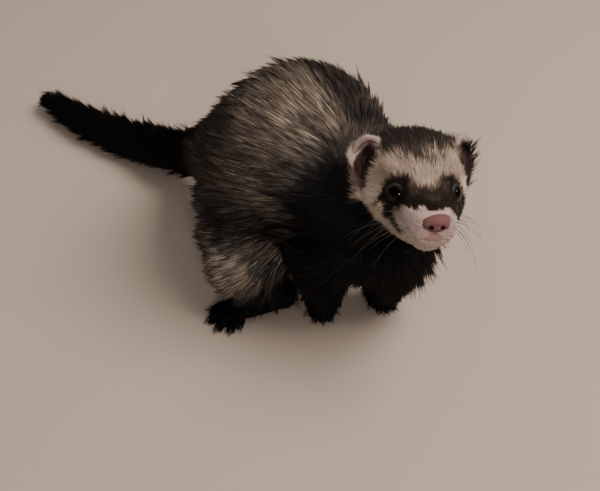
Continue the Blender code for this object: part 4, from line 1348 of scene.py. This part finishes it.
def whiskers():
    hair = {"right": hornFinish("paleWhisker", (0.07, 0.06, 0.052), (0.22, 0.19, 0.165)),
            "left": hornFinish("darkWhisker", (0.006, 0.005, 0.0045), (0.03, 0.025, 0.022))}
    for side, sign in pair:
        draw = np.random.default_rng(whisker["seed"] + sign)
        thick, tipThick = whisker["radius"][side]
        forms = []
        for row, (ahead, aside, down) in enumerate(whisker["rows"]):
            for step in range(whisker["each"]):
                at = np.array((ahead - 2.5 * step, sign * (aside + 1.0 * step), down + 0.3 * step))
                way = np.array((0.5 - 0.22 * step, sign * 1.0, 0.15 - 0.3 * row))
                out = unit(way + draw.normal(0, 0.13, 3))
                length = draw.uniform(*whisker["length"])
                sag, bend = draw.uniform(*whisker["sag"]), draw.normal(0, whisker["bend"])
                rows = []
                for s in np.linspace(0, 1, 8):
                    back = np.array((-9 * s * s, sign * -3 * s ** 3 * (1 + bend), bend * 12 * s * s))
                    place = inHead(at - out * 0.8 + out * length * s + back)
                    place = place + np.array((0, 0, -sag * length * s * s))
                    wide = thick * (1 - s) ** 0.8 + tipThick
                    rows.append((*place, wide, wide))
                forms.append(tube(rows, steps=2, sides=5))
        dress(newMesh("whiskers_" + side, *joined(forms)), hair[side])
    print("whiskers")


eyes()
nose()
claws()
whiskers()

# The studio: a pale floor, soft light from above, and the photograph's view

studio = {
    "at": (280.2, -221.9, 343.3), "azimuth": 48, "elevation": 44, "lens": 57,
    "floor": (0.332, 0.258, 0.205), "world": 0.5, "aim": (0, 0, 0.05),
    # name, place, size and power of each light
    "lights": (("key", (0.5, 0.46, 1.14), 0.7, 27), ("side", (0.68, 0.5, 0.62), 0.12, 1.2),
               ("front", (0.98, -0.6, 0.7), 0.18, 4.8)),
}


def floorSheet(rings=24, sides=96):
    verts = [(0, 0, 0)]
    turns = [math.tau * k / sides for k in range(sides)]
    for r in range(1, rings + 1):
        reach = 0.05 * 1.2 ** r
        verts += [(reach * math.cos(turn), reach * math.sin(turn), 0) for turn in turns]
    faces = [(0, 1 + k, 1 + (k + 1) % sides) for k in range(sides)]
    for r in range(rings - 1):
        a, b = 1 + r * sides, 1 + (r + 1) * sides
        faces += [(a + k, b + k, b + (k + 1) % sides, a + (k + 1) % sides) for k in range(sides)]
    mesh = bpy.data.meshes.new("floor")
    mesh.from_pydata(verts, [], faces)
    floor = linked("floor", mesh)
    made = Finish("paleFloor", Roughness=0.75)
    darker = tuple(c * 0.93 for c in studio["floor"])
    made.set(Base_Color=made.tinted(made.noise(3, 4), ((0.3, darker), (0.7, studio["floor"]))))
    mesh.materials.append(made.material)


def lights():
    world = bpy.data.worlds.new("studio")
    bpy.context.scene.world = world
    world.use_nodes = True
    world.cycles_visibility.glossy = False        # the eyes stay dark and clear
    back = world.node_tree.nodes["Background"]
    back.inputs["Color"].default_value = (1.0, 0.98, 0.96, 1)
    back.inputs["Strength"].default_value = studio["world"]
    for name, at, size, power in studio["lights"]:
        lamp = bpy.data.lights.new(name, "AREA")
        lamp.size = size
        lamp.energy = power
        lamp.color = (1, 0.97, 0.93)
        obj = linked(name, lamp)
        obj.location = at
        obj.visible_glossy = name != "key"        # the wide light leaves no broad shine in the eyes
        obj.rotation_euler = (Vector(studio["aim"]) - Vector(at)).to_track_quat("-Z", "Y").to_euler()


def camera():
    azimuth, elevation = math.radians(studio["azimuth"]), math.radians(studio["elevation"])
    level = math.cos(elevation)
    forward = Vector((-math.sin(azimuth) * level, math.cos(azimuth) * level, -math.sin(elevation)))
    right = Vector((math.cos(azimuth), math.sin(azimuth), 0))
    lens = bpy.data.cameras.new("view")
    lens.lens, lens.sensor_width, lens.sensor_fit = studio["lens"], 36, "HORIZONTAL"
    lens.clip_start, lens.clip_end = 0.02, 20
    obj = linked("view", lens)
    place = Matrix((right, right.cross(forward), -forward)).transposed().to_4x4()
    place.translation = Vector((np.array(studio["at"]) + shift) * mm)
    obj.matrix_world = place
    bpy.context.scene.camera = obj


floorSheet()
lights()
camera()
